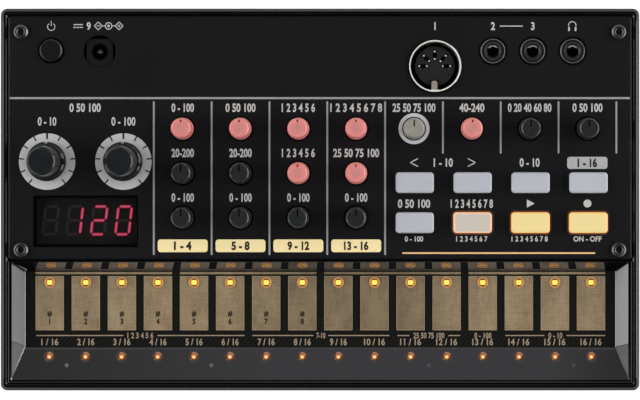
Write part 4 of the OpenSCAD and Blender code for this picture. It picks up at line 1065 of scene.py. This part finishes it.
tree.links.new(both.outputs[0], tree.nodes["Material Output"].inputs["Surface"])
floor_data = bpy.data.meshes.new("floor")
floor.to_mesh(floor_data)
floor.free()
floor_obj = bpy.data.objects.new("floor", floor_data)
floor_data.materials.append(floor_mat)
scene.collection.objects.link(floor_obj)

world = bpy.data.worlds.new("studio")
scene.world = world
world.use_nodes = True
tree = world.node_tree
back = tree.nodes["Background"]
back.inputs["Strength"].default_value = 1.0
ray = axes(tree, position(tree, "Generated"))
ramp = tree.nodes.new("ShaderNodeValToRGB")
for stop, level in zip(ramp.color_ramp.elements, (0.97, 0.03)):
    stop.color = (level, level, level, 1.0)
for height, level in ((0.3, 1.0), (0.55, 1.0), (0.68, 0.95), (0.8, 0.42), (0.9, 0.08)):
    ramp.color_ramp.elements.new(height).color = (level, level, level, 1.0)
tree.links.new(ray["Z"], ramp.inputs["Fac"])
# The horizon is darker to the front and rear than to the sides, and the front is dim higher up
off_sides = calculate(tree, "ABSOLUTE", ray["Y"])
light = scaled(tree, ramp.outputs["Color"], spread(tree, off_sides, 1.0, 0.3, 0.8, 0.97))
light = scaled(tree, light, spread(tree, ray["Y"], 0.35, 1.0, -0.75, -0.35))
# The camera itself sees plain white
choose = tree.nodes.new("ShaderNodeMix")
choose.data_type = "RGBA"
choose.inputs[7].default_value = (1.0, 1.0, 1.0, 1.0)
tree.links.new(tree.nodes.new("ShaderNodeLightPath").outputs["Is Camera Ray"], choose.inputs[0])
tree.links.new(light, choose.inputs[6])
tree.links.new(choose.outputs[2], back.inputs["Color"])


def softbox(name, place, size, watts):
    """A large soft light that faces the object."""
    data = bpy.data.lights.new(name, "AREA")
    data.shape = "RECTANGLE"
    data.size, data.size_y = size
    data.energy = watts
    obj = bpy.data.objects.new(name, data)
    obj.location = place
    towards = Vector((0.0, 0.0, 0.02)) - Vector(place)
    obj.rotation_euler = towards.to_track_quat("-Z", "Y").to_euler()
    scene.collection.objects.link(obj)


softbox("left_box", (-0.95, 0.0, 0.42), (1.2, 0.9), 8.0)
softbox("right_box", (0.95, 0.0, 0.42), (1.2, 0.9), 10.6)

# The camera looks straight down from a little to the right and rear of the middle. The shift
# brings the panel back into the frame, whose width and middle are given at the panel's height.
AIM, VIEW_W, VIEW_Y = (20.0, 4.0), 193.7, -0.136
camera = bpy.data.cameras.new("camera")
camera.lens = 141.25
camera.sensor_width = 36.0
camera_obj = bpy.data.objects.new("camera", camera)
camera_obj.location = (AIM[0] * MM, AIM[1] * MM, 0.792)
camera.shift_x = -AIM[0] / VIEW_W
camera.shift_y = -(AIM[1] - VIEW_Y) / VIEW_W
scene.collection.objects.link(camera_obj)
bpy.context.scene.camera = camera_obj
bpy.context.scene.view_settings.view_transform = "Standard"
